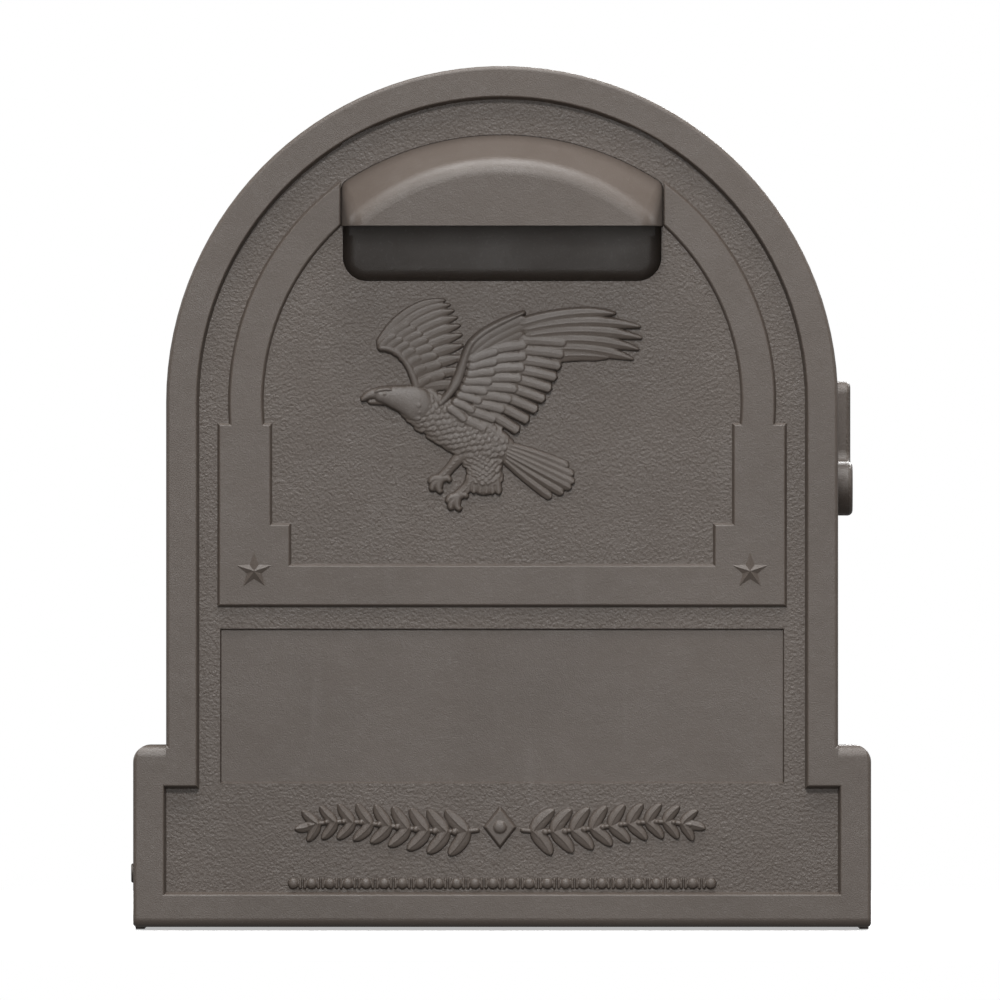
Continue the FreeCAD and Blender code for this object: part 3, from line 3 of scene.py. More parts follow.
import bpy
import numpy as np
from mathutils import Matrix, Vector


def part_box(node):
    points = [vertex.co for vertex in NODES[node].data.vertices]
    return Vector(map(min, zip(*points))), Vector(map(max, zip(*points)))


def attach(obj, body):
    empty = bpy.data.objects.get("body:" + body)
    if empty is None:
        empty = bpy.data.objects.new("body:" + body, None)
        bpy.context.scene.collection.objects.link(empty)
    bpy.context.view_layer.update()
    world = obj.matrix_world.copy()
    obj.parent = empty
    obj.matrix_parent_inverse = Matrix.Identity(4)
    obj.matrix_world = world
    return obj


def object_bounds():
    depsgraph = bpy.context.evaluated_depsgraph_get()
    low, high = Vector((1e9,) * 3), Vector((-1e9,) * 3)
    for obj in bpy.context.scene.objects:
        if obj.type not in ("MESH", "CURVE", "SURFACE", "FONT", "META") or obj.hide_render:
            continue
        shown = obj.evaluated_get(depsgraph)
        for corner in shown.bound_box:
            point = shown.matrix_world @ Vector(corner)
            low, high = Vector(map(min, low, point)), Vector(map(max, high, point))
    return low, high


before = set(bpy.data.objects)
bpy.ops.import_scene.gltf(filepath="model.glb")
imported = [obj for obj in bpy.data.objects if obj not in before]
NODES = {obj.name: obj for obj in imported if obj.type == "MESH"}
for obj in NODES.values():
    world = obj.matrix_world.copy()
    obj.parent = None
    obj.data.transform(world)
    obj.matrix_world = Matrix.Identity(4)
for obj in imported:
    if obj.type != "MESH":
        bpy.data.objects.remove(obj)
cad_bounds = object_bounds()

# Kerbside post-mount mailbox: materials, sculpted ornament, light and camera around the packed
# CAD frame. Scene units are metres; sizes written in millimetres are multiplied by MM, and the
# reliefs are sculpted in millimetres. X points right, -Y to the front, Z up.

MM = 0.001


# ---------------------------------------------------------------- where the grain lies

BORDER_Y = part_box("door_panel")[0].y      # front of the door's border
FIELD_Y = BORDER_Y + 3.5 * MM             # the door's sunk field
SHELL_FRONT = -205.5 * MM
SHELL_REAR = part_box("body_shell")[1].y
BAND_LENGTH = 15 * MM                     # smooth bands at both ends of the shell
SKIRT_TOP = 57 * MM
COVER_FIELD = (257.2 * MM, 258.2 * MM)    # depth range of the rear cover's sunk field
FLAG_FIELD = (115.7 * MM, 116.6 * MM)     # the same across the flag's outer face


# ---------------------------------------------------------------- shader helpers


class Nodes:
    """Builds a shader tree by name, with the links made as the nodes are added."""

    def __init__(self, owner):
        owner.use_nodes = True
        self.tree = owner.node_tree
        self.tree.nodes.clear()

    def add(self, kind, values=None, **settings):
        """A new node, with its settings and its inputs by name or number."""
        node = self.tree.nodes.new(kind)
        for name, setting in settings.items():
            setattr(node, name, setting)
        for name, given in (values or {}).items():
            self.feed(node, name, given)
        return node

    def feed(self, node, name, given):
        """Set a socket, or link it when what is given is another node's output."""
        socket = node.inputs[name]
        if isinstance(given, bpy.types.NodeSocket):
            self.tree.links.new(given, socket)
        else:
            socket.default_value = given

    def place(self):
        """The row's own coordinates, in metres."""
        return self.add("ShaderNodeTexCoord").outputs["Object"]

    def axes(self):
        """Across (X), depth (Y) and height (Z)."""
        split = self.add("ShaderNodeSeparateXYZ", {"Vector": self.place()})
        return split.outputs["X"], split.outputs["Y"], split.outputs["Z"]

    def maths(self, operation, first, second=0.0, third=0.0):
        node = self.add("ShaderNodeMath", {0: first, 1: second, 2: third}, operation=operation)
        return node.outputs[0]

    def noise(self, scale, detail=3.0, roughness=0.55, stretch=None):
        """Noise with so many features per metre; stretch multiplies that on each axis."""
        vector = self.place()
        if stretch:
            vector = self.add("ShaderNodeMapping", {"Vector": vector, "Scale": stretch}).outputs[0]
        node = self.add("ShaderNodeTexNoise", {
            "Vector": vector, "Scale": scale, "Detail": detail, "Roughness": roughness})
        return node.outputs["Fac"]

    def ramp(self, source, low, high, floor=0.0, ceiling=1.0):
        """A smooth step from floor to ceiling while the source goes from low to high."""
        node = self.add("ShaderNodeMapRange", {
            "Value": source, "From Min": low, "From Max": high, "To Min": floor,
            "To Max": ceiling}, interpolation_type="SMOOTHSTEP")
        return node.outputs["Result"]

    def mix(self, share, first, second):
        """Two colours mixed; the colour sockets of a Mix node are numbers 6, 7 and 2."""
        node = self.add("ShaderNodeMix", data_type="RGBA")
        self.feed(node, 0, share)
        self.feed(node, 6, first)
        self.feed(node, 7, second)
        return node.outputs[2]

    def between(self, source, low, high, soft):
        """1 where the source lies between two values, with soft ends."""
        rise = self.ramp(source, low - soft, low + soft)
        fall = self.ramp(source, high - soft, high + soft, 1.0, 0.0)
        return self.maths("MULTIPLY", rise, fall)

    def bump(self, height, depth, normal=None):
        """A bump of this depth in metres, on top of an earlier normal if one is given."""
        values = {"Height": height, "Strength": 1.0, "Distance": depth}
        if normal is not None:
            values["Normal"] = normal
        return self.add("ShaderNodeBump", values).outputs["Normal"]

    def surface(self, values):
        """A principled shader with these inputs, joined to the material's output."""
        shader = self.add("ShaderNodeBsdfPrincipled", values)
        output = self.add("ShaderNodeOutputMaterial")
        self.tree.links.new(shader.outputs[0], output.inputs[0])


def new_material(name):
    material = bpy.data.materials.new(name)
    return material, Nodes(material)


# ---------------------------------------------------------------- materials

BRONZE_LIGHT = (0.0835, 0.0660, 0.0545, 1)
BRONZE_DARK = (0.0705, 0.0552, 0.0450, 1)
BRONZE_DUST = (0.125, 0.110, 0.099, 1)    # specks and streaks
BRONZE_WEAR_AND_HIGHLIGHT = (0.112, 0.097, 0.087, 1)    # high spots of a relief: wear together with a painted highlight
BRONZE_GROOVE_SHADE = (0.034, 0.026, 0.021, 1)    # painted shade in its grooves
GRAINS_PER_METRE = 1050.0
GRAIN_DEPTH = 0.16 * MM
FINE_PER_METRE = 2300.0
FINE_DEPTH = 0.11 * MM
RIPPLES_PER_METRE = 160.0
RIPPLE_DEPTH = 0.12 * MM


def pebbles(nodes, scale):
    """Soft irregular grain as on cast leather: rounded cells with sand over them."""
    cells = nodes.add("ShaderNodeTexVoronoi", {
        "Vector": nodes.place(), "Scale": scale, "Smoothness": 0.8, "Randomness": 1.0},
        feature="SMOOTH_F1")
    bumps = nodes.ramp(cells.outputs["Distance"], 0.05, 0.75, 1.0, 0.0)
    sand = nodes.noise(scale * 0.9, 3.0, 0.6)
    return nodes.maths("MULTIPLY_ADD", sand, 1.3, nodes.maths("MULTIPLY", bumps, 0.5))


def bronze(name, coarse, relief_wear_and_painted_light=False):
    """Moulded bronze plastic. coarse(nodes) gives where the pebble grain is: 1 coarse, 0 fine.
    Its last argument, when true, makes the high spots of a relief on the door paler, as wear
    together with a painted highlight, and darkens its grooves with painted shade."""
    material, nodes = new_material(name)
    share = coarse(nodes)

    cloud = nodes.noise(9.0, 4.0, 0.6)
    colour = nodes.mix(nodes.ramp(cloud, 0.30, 0.70), BRONZE_DARK, BRONZE_LIGHT)
    speck = nodes.noise(900.0, 2.0, 0.7)
    dust = nodes.maths("MULTIPLY", nodes.ramp(speck, 0.56, 0.74), 0.30)
    colour = nodes.mix(dust, colour, BRONZE_DUST)
    streak = nodes.noise(30.0, 3.0, 0.6, stretch=(3.0, 1.0, 0.35))
    colour = nodes.mix(nodes.maths("MULTIPLY", nodes.ramp(streak, 0.58, 0.80), 0.22), colour,
                       BRONZE_DUST)

    if relief_wear_and_painted_light:
        depth = nodes.axes()[1]
        # Paler high spots: rubbed wear together with a painted highlight, in patches.
        wear_and_highlight_patches = nodes.ramp(nodes.noise(220.0, 3.0, 0.6), 0.3, 0.7, 0.35, 0.8)
        high = nodes.ramp(depth, FIELD_Y - 1.5 * MM, FIELD_Y - 2.6 * MM)
        colour = nodes.mix(nodes.maths("MULTIPLY", high, wear_and_highlight_patches), colour, BRONZE_WEAR_AND_HIGHLIGHT)
        # Painted shade: darker low down on the relief, in its grooves and round its foot.
        colour = nodes.mix(nodes.ramp(depth, FIELD_Y - 0.9 * MM, FIELD_Y, 0.0, 0.8), colour,
                           BRONZE_GROOVE_SHADE)

    grains = nodes.maths("MULTIPLY", pebbles(nodes, GRAINS_PER_METRE), share)
    normal = nodes.bump(nodes.noise(RIPPLES_PER_METRE, 2.0, 0.5), RIPPLE_DEPTH)
    normal = nodes.bump(nodes.noise(FINE_PER_METRE, 3.0, 0.6), FINE_DEPTH, normal)
    normal = nodes.bump(grains, GRAIN_DEPTH, normal)

    rough = nodes.ramp(nodes.noise(55.0, 4.0, 0.65), 0.25, 0.75, 0.40, 0.52)
    nodes.surface({"Base Color": colour, "Roughness": rough, "Normal": normal, "IOR": 1.5,
                   "Specular IOR Level": 0.5})
    return material


def door_grain(nodes):
    """Coarse on the sunk field only: not on the border, the raised frame or the name panel."""
    depth = nodes.axes()[1]
    return nodes.between(depth, FIELD_Y - 0.25 * MM, FIELD_Y + 0.45 * MM, 0.15 * MM)


def shell_grain(nodes):
    """Coarse on the shell's outside between its end bands, and above the skirt."""
    depth, height = nodes.axes()[1:]
    along = nodes.between(depth, SHELL_FRONT + BAND_LENGTH, SHELL_REAR - BAND_LENGTH, 0.1 * MM)
    return nodes.maths("MULTIPLY", along, nodes.ramp(height, SKIRT_TOP, SKIRT_TOP + 1 * MM))


def cover_grain(nodes):
    """Coarse on the rear cover's sunk field."""
    return nodes.between(nodes.axes()[1], *COVER_FIELD, 0.2 * MM)


def flag_grain(nodes):
    """Coarse on the sunk part of the flag's outer face."""
    return nodes.between(nodes.axes()[0], *FLAG_FIELD, 0.15 * MM)


def fine_grain(nodes):
    """A faint grain all over, in patches."""
    return nodes.maths("MULTIPLY", nodes.noise(40.0), 0.25)


def plain_plastic(name, dark, light, rough):
    """Plainer moulded plastic for inner pieces, with flow marks and a fine grain."""
    material, nodes = new_material(name)
    cloud = nodes.noise(14.0, 4.0, 0.6)
    colour = nodes.mix(nodes.ramp(cloud, 0.3, 0.7), dark, light)
    normal = nodes.bump(nodes.noise(1500.0, 3.0), 0.05 * MM)
    flow = nodes.noise(90.0, 2.0, stretch=(1.0, 0.3, 1.0))
    normal = nodes.bump(flow, 0.10 * MM, normal)
    roughness = nodes.ramp(nodes.noise(70.0), 0.3, 0.7, rough - 0.07, rough + 0.07)
    nodes.surface({"Base Color": colour, "Roughness": roughness, "Normal": normal})
    return material


def metal(name, dark, light, rough, metallic=1.0):
    """Plated or coated steel with turning marks and small stains."""
    material, nodes = new_material(name)
    colour = nodes.mix(nodes.ramp(nodes.noise(260.0, 4.0, 0.7), 0.35, 0.7), dark, light)
    brushed = nodes.noise(900.0, 2.0, 0.5, stretch=(1.0, 0.08, 1.0))
    normal = nodes.bump(brushed, 0.02 * MM)
    roughness = nodes.ramp(nodes.noise(400.0), 0.3, 0.7, rough - 0.08, rough + 0.1)
    nodes.surface({"Base Color": colour, "Roughness": roughness, "Normal": normal,
                   "Metallic": metallic})
    return material


def dress(material, *names):
    """Put a material on carried-over CAD nodes."""
    for name in names:
        slots = NODES[name].data.materials
        slots.clear()
        slots.append(material)


dress(bronze("bronze_door", door_grain), "door_panel")
dress(bronze("bronze_shell", shell_grain), "body_shell")
dress(bronze("bronze_cover", cover_grain), "rear_cover")
dress(bronze("bronze_flag", flag_grain), "signal_flag")
dress(bronze("bronze_handle", fine_grain), "door_handle")
# The relief's material carries painted shade in its grooves and a painted highlight on its high
# spots.
RELIEF = bronze("bronze_relief", fine_grain, relief_wear_and_painted_light=True)
dress(plain_plastic("floor_plastic", (0.075, 0.061, 0.051, 1), (0.098, 0.080, 0.067, 1), 0.5),
      "floor_pan")
dress(plain_plastic("catch_plastic", (0.012, 0.012, 0.013, 1), (0.022, 0.022, 0.023, 1), 0.42),
      "catch_housing")
dress(plain_plastic("nylon", (0.56, 0.53, 0.46, 1), (0.66, 0.63, 0.56, 1), 0.4), "flag_bushing",
      "flag_friction_washer")
dress(metal("coated_pins", (0.060, 0.049, 0.041, 1), (0.086, 0.071, 0.060, 1), 0.48, 0.4),
      "hinge_pin_left", "hinge_pin_right")
dress(metal("zinc", (0.42, 0.43, 0.44, 1), (0.62, 0.63, 0.63, 1), 0.34), "handle_screws",
      "floor_screws", "catch_screws", "strike_plate", "strike_rivets", "catch_pole_plates",
      "flag_flat_washer", "flag_spring_washer", "flag_nut")
dress(metal("dark_coated_steel", (0.030, 0.026, 0.022, 1), (0.050, 0.043, 0.037, 1), 0.45, 0.5),
      "rear_cover_screws", "flag_pivot_bolt")
dress(metal("ferrite", (0.020, 0.020, 0.022, 1), (0.040, 0.040, 0.043, 1), 0.6, 0.2),
      "catch_magnet")


# ---------------------------------------------------------------- sculpting tools, millimetres

WALL_SLOPE = 3.2      # steepness of a stroke's sides
EDGE_DROP = 0.12      # how far a stroke's top rounds off at its edge
EDGE_SOFT = 0.15      # over about this distance
RIDGE_HALF = 0.22     # half-width of the ridge along a feather
RUFFLE = 0.22         # how far scale feathers stray from their places


class Relief:
    """A sculpted height field in millimetres: across and up on the door, height towards the
    front. Whatever is not covered lies below the door's surface."""

    SUNK = -0.35
    STEP = 0.25

    def __init__(self, left, right, low, high):
        step = self.STEP
        self.corner = np.array([left, low])
        count_x = int(round((right - left) / step)) + 1
        count_z = int(round((high - low) / step)) + 1
        self.x, self.z = np.meshgrid(left + step * np.arange(count_x),
                                     low + step * np.arange(count_z))
        self.height = np.full(self.x.shape, self.SUNK)

    def window(self, points, margin):
        """The slice of the grid round some points."""
        low = (points.min(0) - margin - self.corner) / self.STEP
        high = (points.max(0) + margin - self.corner) / self.STEP
        rows = slice(max(int(low[1]), 0), max(int(high[1]) + 2, 0))
        columns = slice(max(int(low[0]), 0), max(int(high[0]) + 2, 0))
        return rows, columns

    def measure(self, points, where):
        """Distance to a line of points, how far along it (0 to 1), and which side (-1 or 1)."""
        x = self.x[where]
        z = self.z[where]
        best = np.full(x.shape, 1e9)
        along = np.zeros(x.shape)
        side = np.ones(x.shape)
        count = len(points) - 1
        for index in range(count):
            start = points[index]
            step = points[index + 1] - start
            length = step @ step
            offset_x = x - start[0]
            offset_z = z - start[1]
            share = np.clip((offset_x * step[0] + offset_z * step[1]) / length, 0, 1)
            distance = np.hypot(offset_x - share * step[0], offset_z - share * step[1])
            nearer = distance < best
            best = np.where(nearer, distance, best)
            along = np.where(nearer, (index + share) / count, along)
            cross = step[0] * offset_z - step[1] * offset_x
            side = np.where(nearer, np.sign(cross), side)
        return best, along, side

    def lay(self, where, heights):
        """Raise the surface to these heights wherever it is lower."""
        self.height[where] = np.maximum(self.height[where], heights)


def curve(points, count):
    """Points along a Bezier curve of three or four points, or a straight line of two."""
    points = np.array(points, float)
    share = np.linspace(0, 1, count + 1)[:, None]
    rest = 1 - share
    if len(points) == 2:
        return rest * points[0] + share * points[1]
    if len(points) == 3:
        return rest ** 2 * points[0] + 2 * rest * share * points[1] + share ** 2 * points[2]
    return (rest ** 3 * points[0] + 3 * rest ** 2 * share * points[1]
            + 3 * rest * share ** 2 * points[2] + share ** 3 * points[3])


def stroke(relief, spine, width, height, crown=0.4, ridge=0.0, lean=0.0, blunt=0.25, root=0.12,
           tip_power=3.0):
    """A raised stroke along a curve, such as a feather. width is the half-width, or a pair for
    the two ends; height likewise. crown rounds its top, ridge runs along its middle and lean
    tilts it sideways. blunt is the share of the length taken by the tip, squarer with a higher
    tip_power, and root the share in which it widens from its start."""
    widths = width if isinstance(width, tuple) else (width, width)
    heights = height if isinstance(height, tuple) else (height, height)
    line = curve(spine, 14 if len(spine) > 2 else 4)
    where = relief.window(line, max(widths) + 0.8)
    distance, along, side = relief.measure(line, where)
    half = widths[0] + (widths[1] - widths[0]) * along
    tip = np.clip((along - (1 - blunt)) / blunt, 0, 1)
    half = half * np.sqrt(np.clip(1 - tip ** tip_power, 0, 1))
    if root > 0:
        half = half * (0.45 + 0.55 * np.sqrt(np.clip(along / root, 0, 1)))
    level = heights[0] + (heights[1] - heights[0]) * along
    inside = half - distance
    share = np.clip(distance / np.maximum(half, 0.05), 0, 1)
    top = level + crown * (1 - share ** 2) + lean * side * share
    if ridge:
        top += ridge * np.exp(-(distance / RIDGE_HALF) ** 2) * np.clip(1 - along, 0, 1) ** 0.3
    top -= EDGE_DROP * np.exp(-np.maximum(inside, 0) / EDGE_SOFT)
    wall = level + lean * side - EDGE_DROP + WALL_SLOPE * inside
    relief.lay(where, np.where(inside > 0, top, wall))


def dome(relief, spine, widths, base, rise, power=0.5):
    """A rounded mass along a curve; widths are half-widths at equal steps along it, and base
    is the height of its edge, or a pair for the two ends."""
    line = curve(spine, 24)
    where = relief.window(line, max(widths) + 0.8)
    distance, along, side = relief.measure(line, where)
    half = np.interp(along, np.linspace(0, 1, len(widths)), widths)
    inside = half - distance
    share = np.clip(distance / half, 0, 1)
    bases = base if isinstance(base, tuple) else (base, base)
    edge = bases[0] + (bases[1] - bases[0]) * along
    top = edge + rise * (1 - share ** 2) ** power
    relief.lay(where, np.where(inside > 0, top, edge + WALL_SLOPE * inside))


def row(relief, roots, tips, count, width, height, bend=0.0, **shape):
    """A row of overlapping feathers between two guide curves."""
    starts = curve(roots, count - 1)
    ends = curve(tips, count - 1)
    for index, (start, end) in enumerate(zip(starts, ends)):
        share = index / (count - 1)
        run = end - start
        middle = (start + end) / 2 + bend * np.array([-run[1], run[0]])
        half = width[0] + (width[1] - width[0]) * share
        level = height[0] + (height[1] - height[0]) * share
        stroke(relief, [start, middle, end], (half, half * 0.92), level, **shape)


def scales(relief, spine, widths, rows, pitch, base, rise, size, lift):
    """Small overlapping scale feathers on a rounded mass, each lifted at its hind end and a
    little out of line."""
    ruffle = np.random.default_rng(7)
    fine = 40
    line = curve(spine, fine)
    for step in range(rows + 1):
        share = step / rows
        spot = int(round(share * fine))
        ahead = line[min(spot + 1, fine)] - line[max(spot - 1, 0)]
        ahead = ahead / np.hypot(*ahead)
        sideways = np.array([-ahead[1], ahead[0]])
        half = np.interp(share, np.linspace(0, 1, len(widths)), widths)
        count = int(half / pitch)
        for place in range(-count - 1, count + 1):
            lateral = (place + 0.25 + 0.5 * (step % 2)) * pitch
            if abs(lateral) > half * 0.96:
                continue
            centre = line[spot] + sideways * lateral + ruffle.normal(0, RUFFLE, 2)
            level = base + rise * (1 - (lateral / half) ** 2) ** 0.5
            stroke(relief, [centre - ahead * size * 0.5, centre + ahead * size * 0.5],
                   pitch * 0.54, (level - lift, level + lift), crown=0.12, blunt=0.6, root=0)


# ---------------------------------------------------------------- the bird


def sculpt_bird(relief):
    """A large bird of prey in flight towards the left, wings raised. Millimetres from the
    middle of its breast."""
    far_wing(relief)

    # tail: the middle feathers lie on top of their neighbours
    roots = curve([(22.0, -10.6), (20.8, -16.2)], 5)
    tips = curve([(41.6, -17.6), (47.4, -25.2), (35.8, -28.2)], 5)
    for index in (0, 5, 1, 4, 2, 3):
        level = 1.3 - 0.16 * abs(index - 2.5)
        lean = 0.2 if index > 2 else -0.2
        middle = (roots[index] + tips[index]) / 2 + (2.5 - index) * np.array([0.1, 0.3])
        stroke(relief, [roots[index], middle, tips[index]], (1.0, 1.42),
               (level + 0.4, level - 0.1), crown=0.3, ridge=0.16, lean=lean, blunt=0.12, root=0.0)

    # far leg and foot
    leg(relief, [(5.5, -14.5), (2.6, -18.0), (-0.4, -21.4)], 2.0)
    foot(relief, (-0.8, -22.0), 1.3, 235)

    near_wing_quills(relief)
    body(relief)
    near_wing_rows(relief)


def far_wing(relief):
    """The wing behind the body: long feathers fan out from its bone."""
    bone = [(-20.6, 21.6), (-12.0, 21.0), (-8.0, 8.5)]
    ends = [(0.8, 37.2), (8.6, 31.5), (6.5, 9.5)]
    count = 10
    starts = curve(bone, count - 1)
    tips = curve(ends, count - 1)
    for index in range(count - 1, -1, -1):
        share = index / (count - 1)
        run = tips[index] - starts[index]
        bulge = 0.26 * (1 - share) ** 1.5 + 0.02
        middle = (starts[index] + tips[index]) / 2 + bulge * np.array([-run[1], run[0]])
        stroke(relief, [starts[index], middle, tips[index]], (2.2, 1.5 - 0.2 * share),
               (1.15 - 0.25 * share, 0.7 - 0.1 * share), crown=0.2, ridge=0.06, lean=0.16,
               blunt=0.26, root=0.05, tip_power=1.3)
    row(relief, [(-20.0, 22.0), (-11.5, 21.0), (-7.4, 9.8)],
        [(-11.0, 29.4), (-3.0, 25.0), (0.8, 12.4)], 8, (1.7, 1.6), (1.25, 1.15), bend=0.14,
        crown=0.22, lean=0.12, blunt=0.35, root=0.0)
    row(relief, [(-20.0, 22.2), (-12.5, 20.8), (-8.0, 9.4)],
        [(-15.6, 25.4), (-8.4, 22.8), (-4.0, 11.4)], 7, (1.4, 1.4), (1.5, 1.35), bend=0.14,
        crown=0.2, lean=0.1, blunt=0.45, root=0.0)
    dome(relief, [(-20.6, 21.4), (-12.4, 21.6), (-8.8, 8.8)], (0.8, 1.0, 1.1, 1.3), 1.15, 0.7)


def near_wing_quills(relief):
    """Long flight feathers of the near wing, lowest first."""
    quills = [
        ((38.0, 18.6), (45.5, 19.6), (55.0, 18.2), 1.05),
        ((35.0, 21.0), (49.0, 22.2), (63.0, 17.6), 1.2),
        ((32.0, 23.4), (49.0, 25.4), (64.8, 20.9), 1.35),
        ((29.0, 25.6), (48.0, 28.8), (65.8, 24.6), 1.5),
        ((28.0, 27.6), (46.0, 31.8), (65.2, 28.4), 1.65),
        ((27.0, 29.4), (41.0, 34.0), (57.0, 32.8), 1.85)]
    for root, middle, tip, level in quills:
        stroke(relief, [root, middle, tip], (2.0, 1.55), (level + 0.1, level - 0.35), crown=0.28,
               ridge=0.16, lean=0.16, blunt=0.28, root=0.0, tip_power=1.2)


def near_wing_rows(relief):
    """Three rows of feathers on the near wing, and its leading edge."""
    outer = [(26.8, 24.2), (27.4, 9.0), (13.6, -3.6)]
    tips = [(40.6, 23.2), (38.6, 5.6), (21.4, -9.4)]
    row(relief, outer[::-1], tips[::-1], 10, (1.62, 1.68), (1.7, 1.7), bend=0.02, crown=0.24,
        ridge=0.08, lean=-0.16, blunt=0.12, root=0.0)
    row(relief, [(16.5, 21.0), (17.0, 8.0), (6.8, -1.8)][::-1],
        [(27.6, 22.6), (28.2, 7.2), (14.2, -5.4)][::-1], 9, (1.6, 1.66), (2.05, 2.05), bend=0.03,
        crown=0.24, ridge=0.05, lean=-0.16, blunt=0.16, root=0.0)
    row(relief, [(10.0, 18.0), (9.0, 8.8), (2.6, 1.4)][::-1],
        [(18.2, 20.6), (18.0, 8.0), (7.6, -2.6)][::-1], 8, (1.4, 1.5), (2.4, 2.4), bend=0.05,
        crown=0.24, lean=-0.14, blunt=0.22, root=0.0)
    for offset, reach in ((0.0, 27.4), (2.5, 27.0), (5.0, 26.4)):
        stroke(relief, [(9.2, 20.4 - offset), (15.0, 26.8 - offset), (reach, 31.2 - offset)],
               (1.3, 1.6), (2.45 - 0.08 * offset, 2.0 - 0.08 * offset), crown=0.24, lean=0.12,
               blunt=0.14, root=0.0)
    dome(relief, [(-1.0, 3.0), (7.4, 11.0), (5.4, 17.0), (9.6, 23.2)],
         (1.0, 1.6, 1.3, 1.05), (1.3, 2.1), 1.1)
    dome(relief, [(9.4, 22.8), (13.0, 27.4), (19.5, 30.0), (26.4, 33.0)],
         (1.05, 1.0, 0.9, 0.5), (2.1, 1.9), 0.9)


def body(relief):
    """Breast, thigh, near leg, neck and head."""
    leg(relief, [(10.0, -21.5), (8.0, -25.0), (5.2, -27.2)], 2.1)
    foot(relief, (4.8, -27.8), 1.3, 245)
    thigh = [(12.5, -12.5), (14.2, -18.0), (13.6, -22.4)]
    widths = (6.6, 6.2, 5.6, 4.8)
    dome(relief, thigh, widths, 0.85, 0.85)
    row(relief, [(8.6, -21.4), (17.6, -21.4)], [(7.9, -26.6), (18.4, -27.0)], 6, (1.15, 1.15),
        (1.3, 1.3), crown=0.3, lean=0.1, blunt=0.4, root=0.0)
    scales(relief, thigh, widths, 11, 2.1, 0.85, 0.85, 2.5, 0.2)

    trunk = [(-9.5, 2.4), (0.5, -2.0), (9.5, -8.0), (19.5, -11.8)]
    widths = (5.4, 7.0, 8.4, 7.8, 4.4)
    dome(relief, trunk, widths, 0.95, 1.05)
    scales(relief, trunk, widths, 22, 2.15, 0.95, 1.05, 2.7, 0.2)

    neck = [(-20.6, 5.7), (-15.0, 5.6), (-9.0, 3.0)]
    dome(relief, neck, (2.2, 3.6, 4.5, 5.6), 1.3, 1.5)
    for side in range(-2, 3):
        stroke(relief, [(-12.6, 4.2 - 2.0 * side), (-7.4, 2.2 - 2.1 * side)], (1.3, 1.15),
               (2.15 - 0.25 * abs(side), 2.9 - 0.3 * abs(side)), crown=0.15, blunt=0.5, root=0.3)
    # beak: upper half with its hook, then the lower half
    stroke(relief, [(-19.6, 6.2), (-24.6, 7.0), (-27.0, 4.0)], (1.9, 0.8), (1.9, 1.35), crown=0.5,
           blunt=0.22, root=0.0)
    stroke(relief, [(-19.6, 3.9), (-22.6, 3.7), (-25.0, 3.6)], (1.2, 0.7), (1.2, 0.95),
           crown=0.35, blunt=0.3, root=0.0)
    # brow and eye
    stroke(relief, [(-22.4, 6.9), (-19.8, 8.1), (-17.0, 7.6)], (0.6, 0.55), (2.4, 2.7),
           crown=0.35, blunt=0.4, root=0.3)
    dome(relief, [(-19.5, 6.2), (-19.2, 6.2)], (0.6, 0.6), 2.5, 0.5)


def leg(relief, spine, width):
    """A bare leg with small plates across it."""
    dome(relief, spine, (width, width * 0.8, width * 0.85), 0.75, 0.8)
    line = curve(spine, 6)
    for point in line[1:]:
        stroke(relief, [point - (0.6, 0.3), point + (0.6, 0.3)], 0.5, 1.45, crown=0.25, blunt=0.5,
               root=0)


def foot(relief, centre, size, facing):
    """Three front toes and one hind toe, curled in, each ending in a claw."""
    for turn, reach in ((-58, 3.0), (-20, 3.7), (18, 3.4), (140, 2.4)):
        angle = math.radians(facing + turn)
        ahead = np.array([math.cos(angle), math.sin(angle)]) * size
        curl = np.array([-ahead[1], ahead[0]]) * (0.55 if turn < 100 else -0.5)
        start = np.array(centre)
        knuckle = start + ahead * reach * 0.7 - curl * 0.6
        end = start + ahead * reach * 0.85 + curl * 1.2
        dome(relief, [start, knuckle, end], (1.1 * size, 1.0 * size, 0.7 * size), 0.85, 0.85)
        claw = end + curl * 1.5 - ahead * 0.3
        stroke(relief, [end, end + curl * 0.9, claw], (0.5, 0.2), (1.4, 0.9), crown=0.3,
               blunt=0.3, root=0)


# ---------------------------------------------------------------- garland and beads


def leaf(relief, base, direction, length, width, level):
    """A pointed leaf with a midrib."""
    ahead = np.array([math.cos(direction), math.sin(direction)])
    sideways = np.array([-ahead[1], ahead[0]])
    spine = [base, base + ahead * length * 0.5 + sideways * length * 0.1, base + ahead * length]
    stroke(relief, spine, (width, width * 0.9), (level, level - 0.25), crown=0.5, ridge=0.3,
           blunt=0.75, root=0.3)


def button(relief, centre, radius, base, rise):
    """A round knob."""
    dome(relief, [centre - (0.05, 0), centre + (0.05, 0)], (radius, radius), base, rise)


def sculpt_garland(relief):
    """Two leaf sprays that meet at a diamond, in place of any lettering. Millimetres from the
    middle of the row."""
    steps = 36
    for side in (-1, 1):
        stem = curve([(7.5 * side, -1.0), (28.0 * side, -3.4), (46.0 * side, 4.6),
                      (63.0 * side, 0.6)], steps)
        for start, end in zip(stem[:-1], stem[1:]):
            stroke(relief, [start, end], 0.75, 0.7, crown=0.4, blunt=0.01, root=0)
        for index in range(2, steps, 4):
            point = stem[index]
            run = stem[index + 1] - stem[index - 1]
            heading = math.atan2(run[1], run[0])
            size = 1.0 - 0.35 * index / steps
            for turn in (-1, 1):
                leaf(relief, point, heading + turn * 0.85, 10.2 * size, 2.5 * size, 0.85)
            berry = point + run / np.hypot(*run) * 4.2 * size
            button(relief, berry, size, 1.0, 0.6)
        leaf(relief, stem[-2], math.atan2(-4.0, 17.0 * side), 6.5, 1.7, 0.8)
    # the diamond, with a button on it
    spread = np.abs(relief.x) / 0.78 + np.abs(relief.z)
    relief.lay(slice(None), np.minimum(1.35, 0.3 + (7.0 - spread) * 1.1))
    dome(relief, [(-0.1, 0.0), (0.1, 0.0)], (2.0, 2.0), 1.5, 0.8)


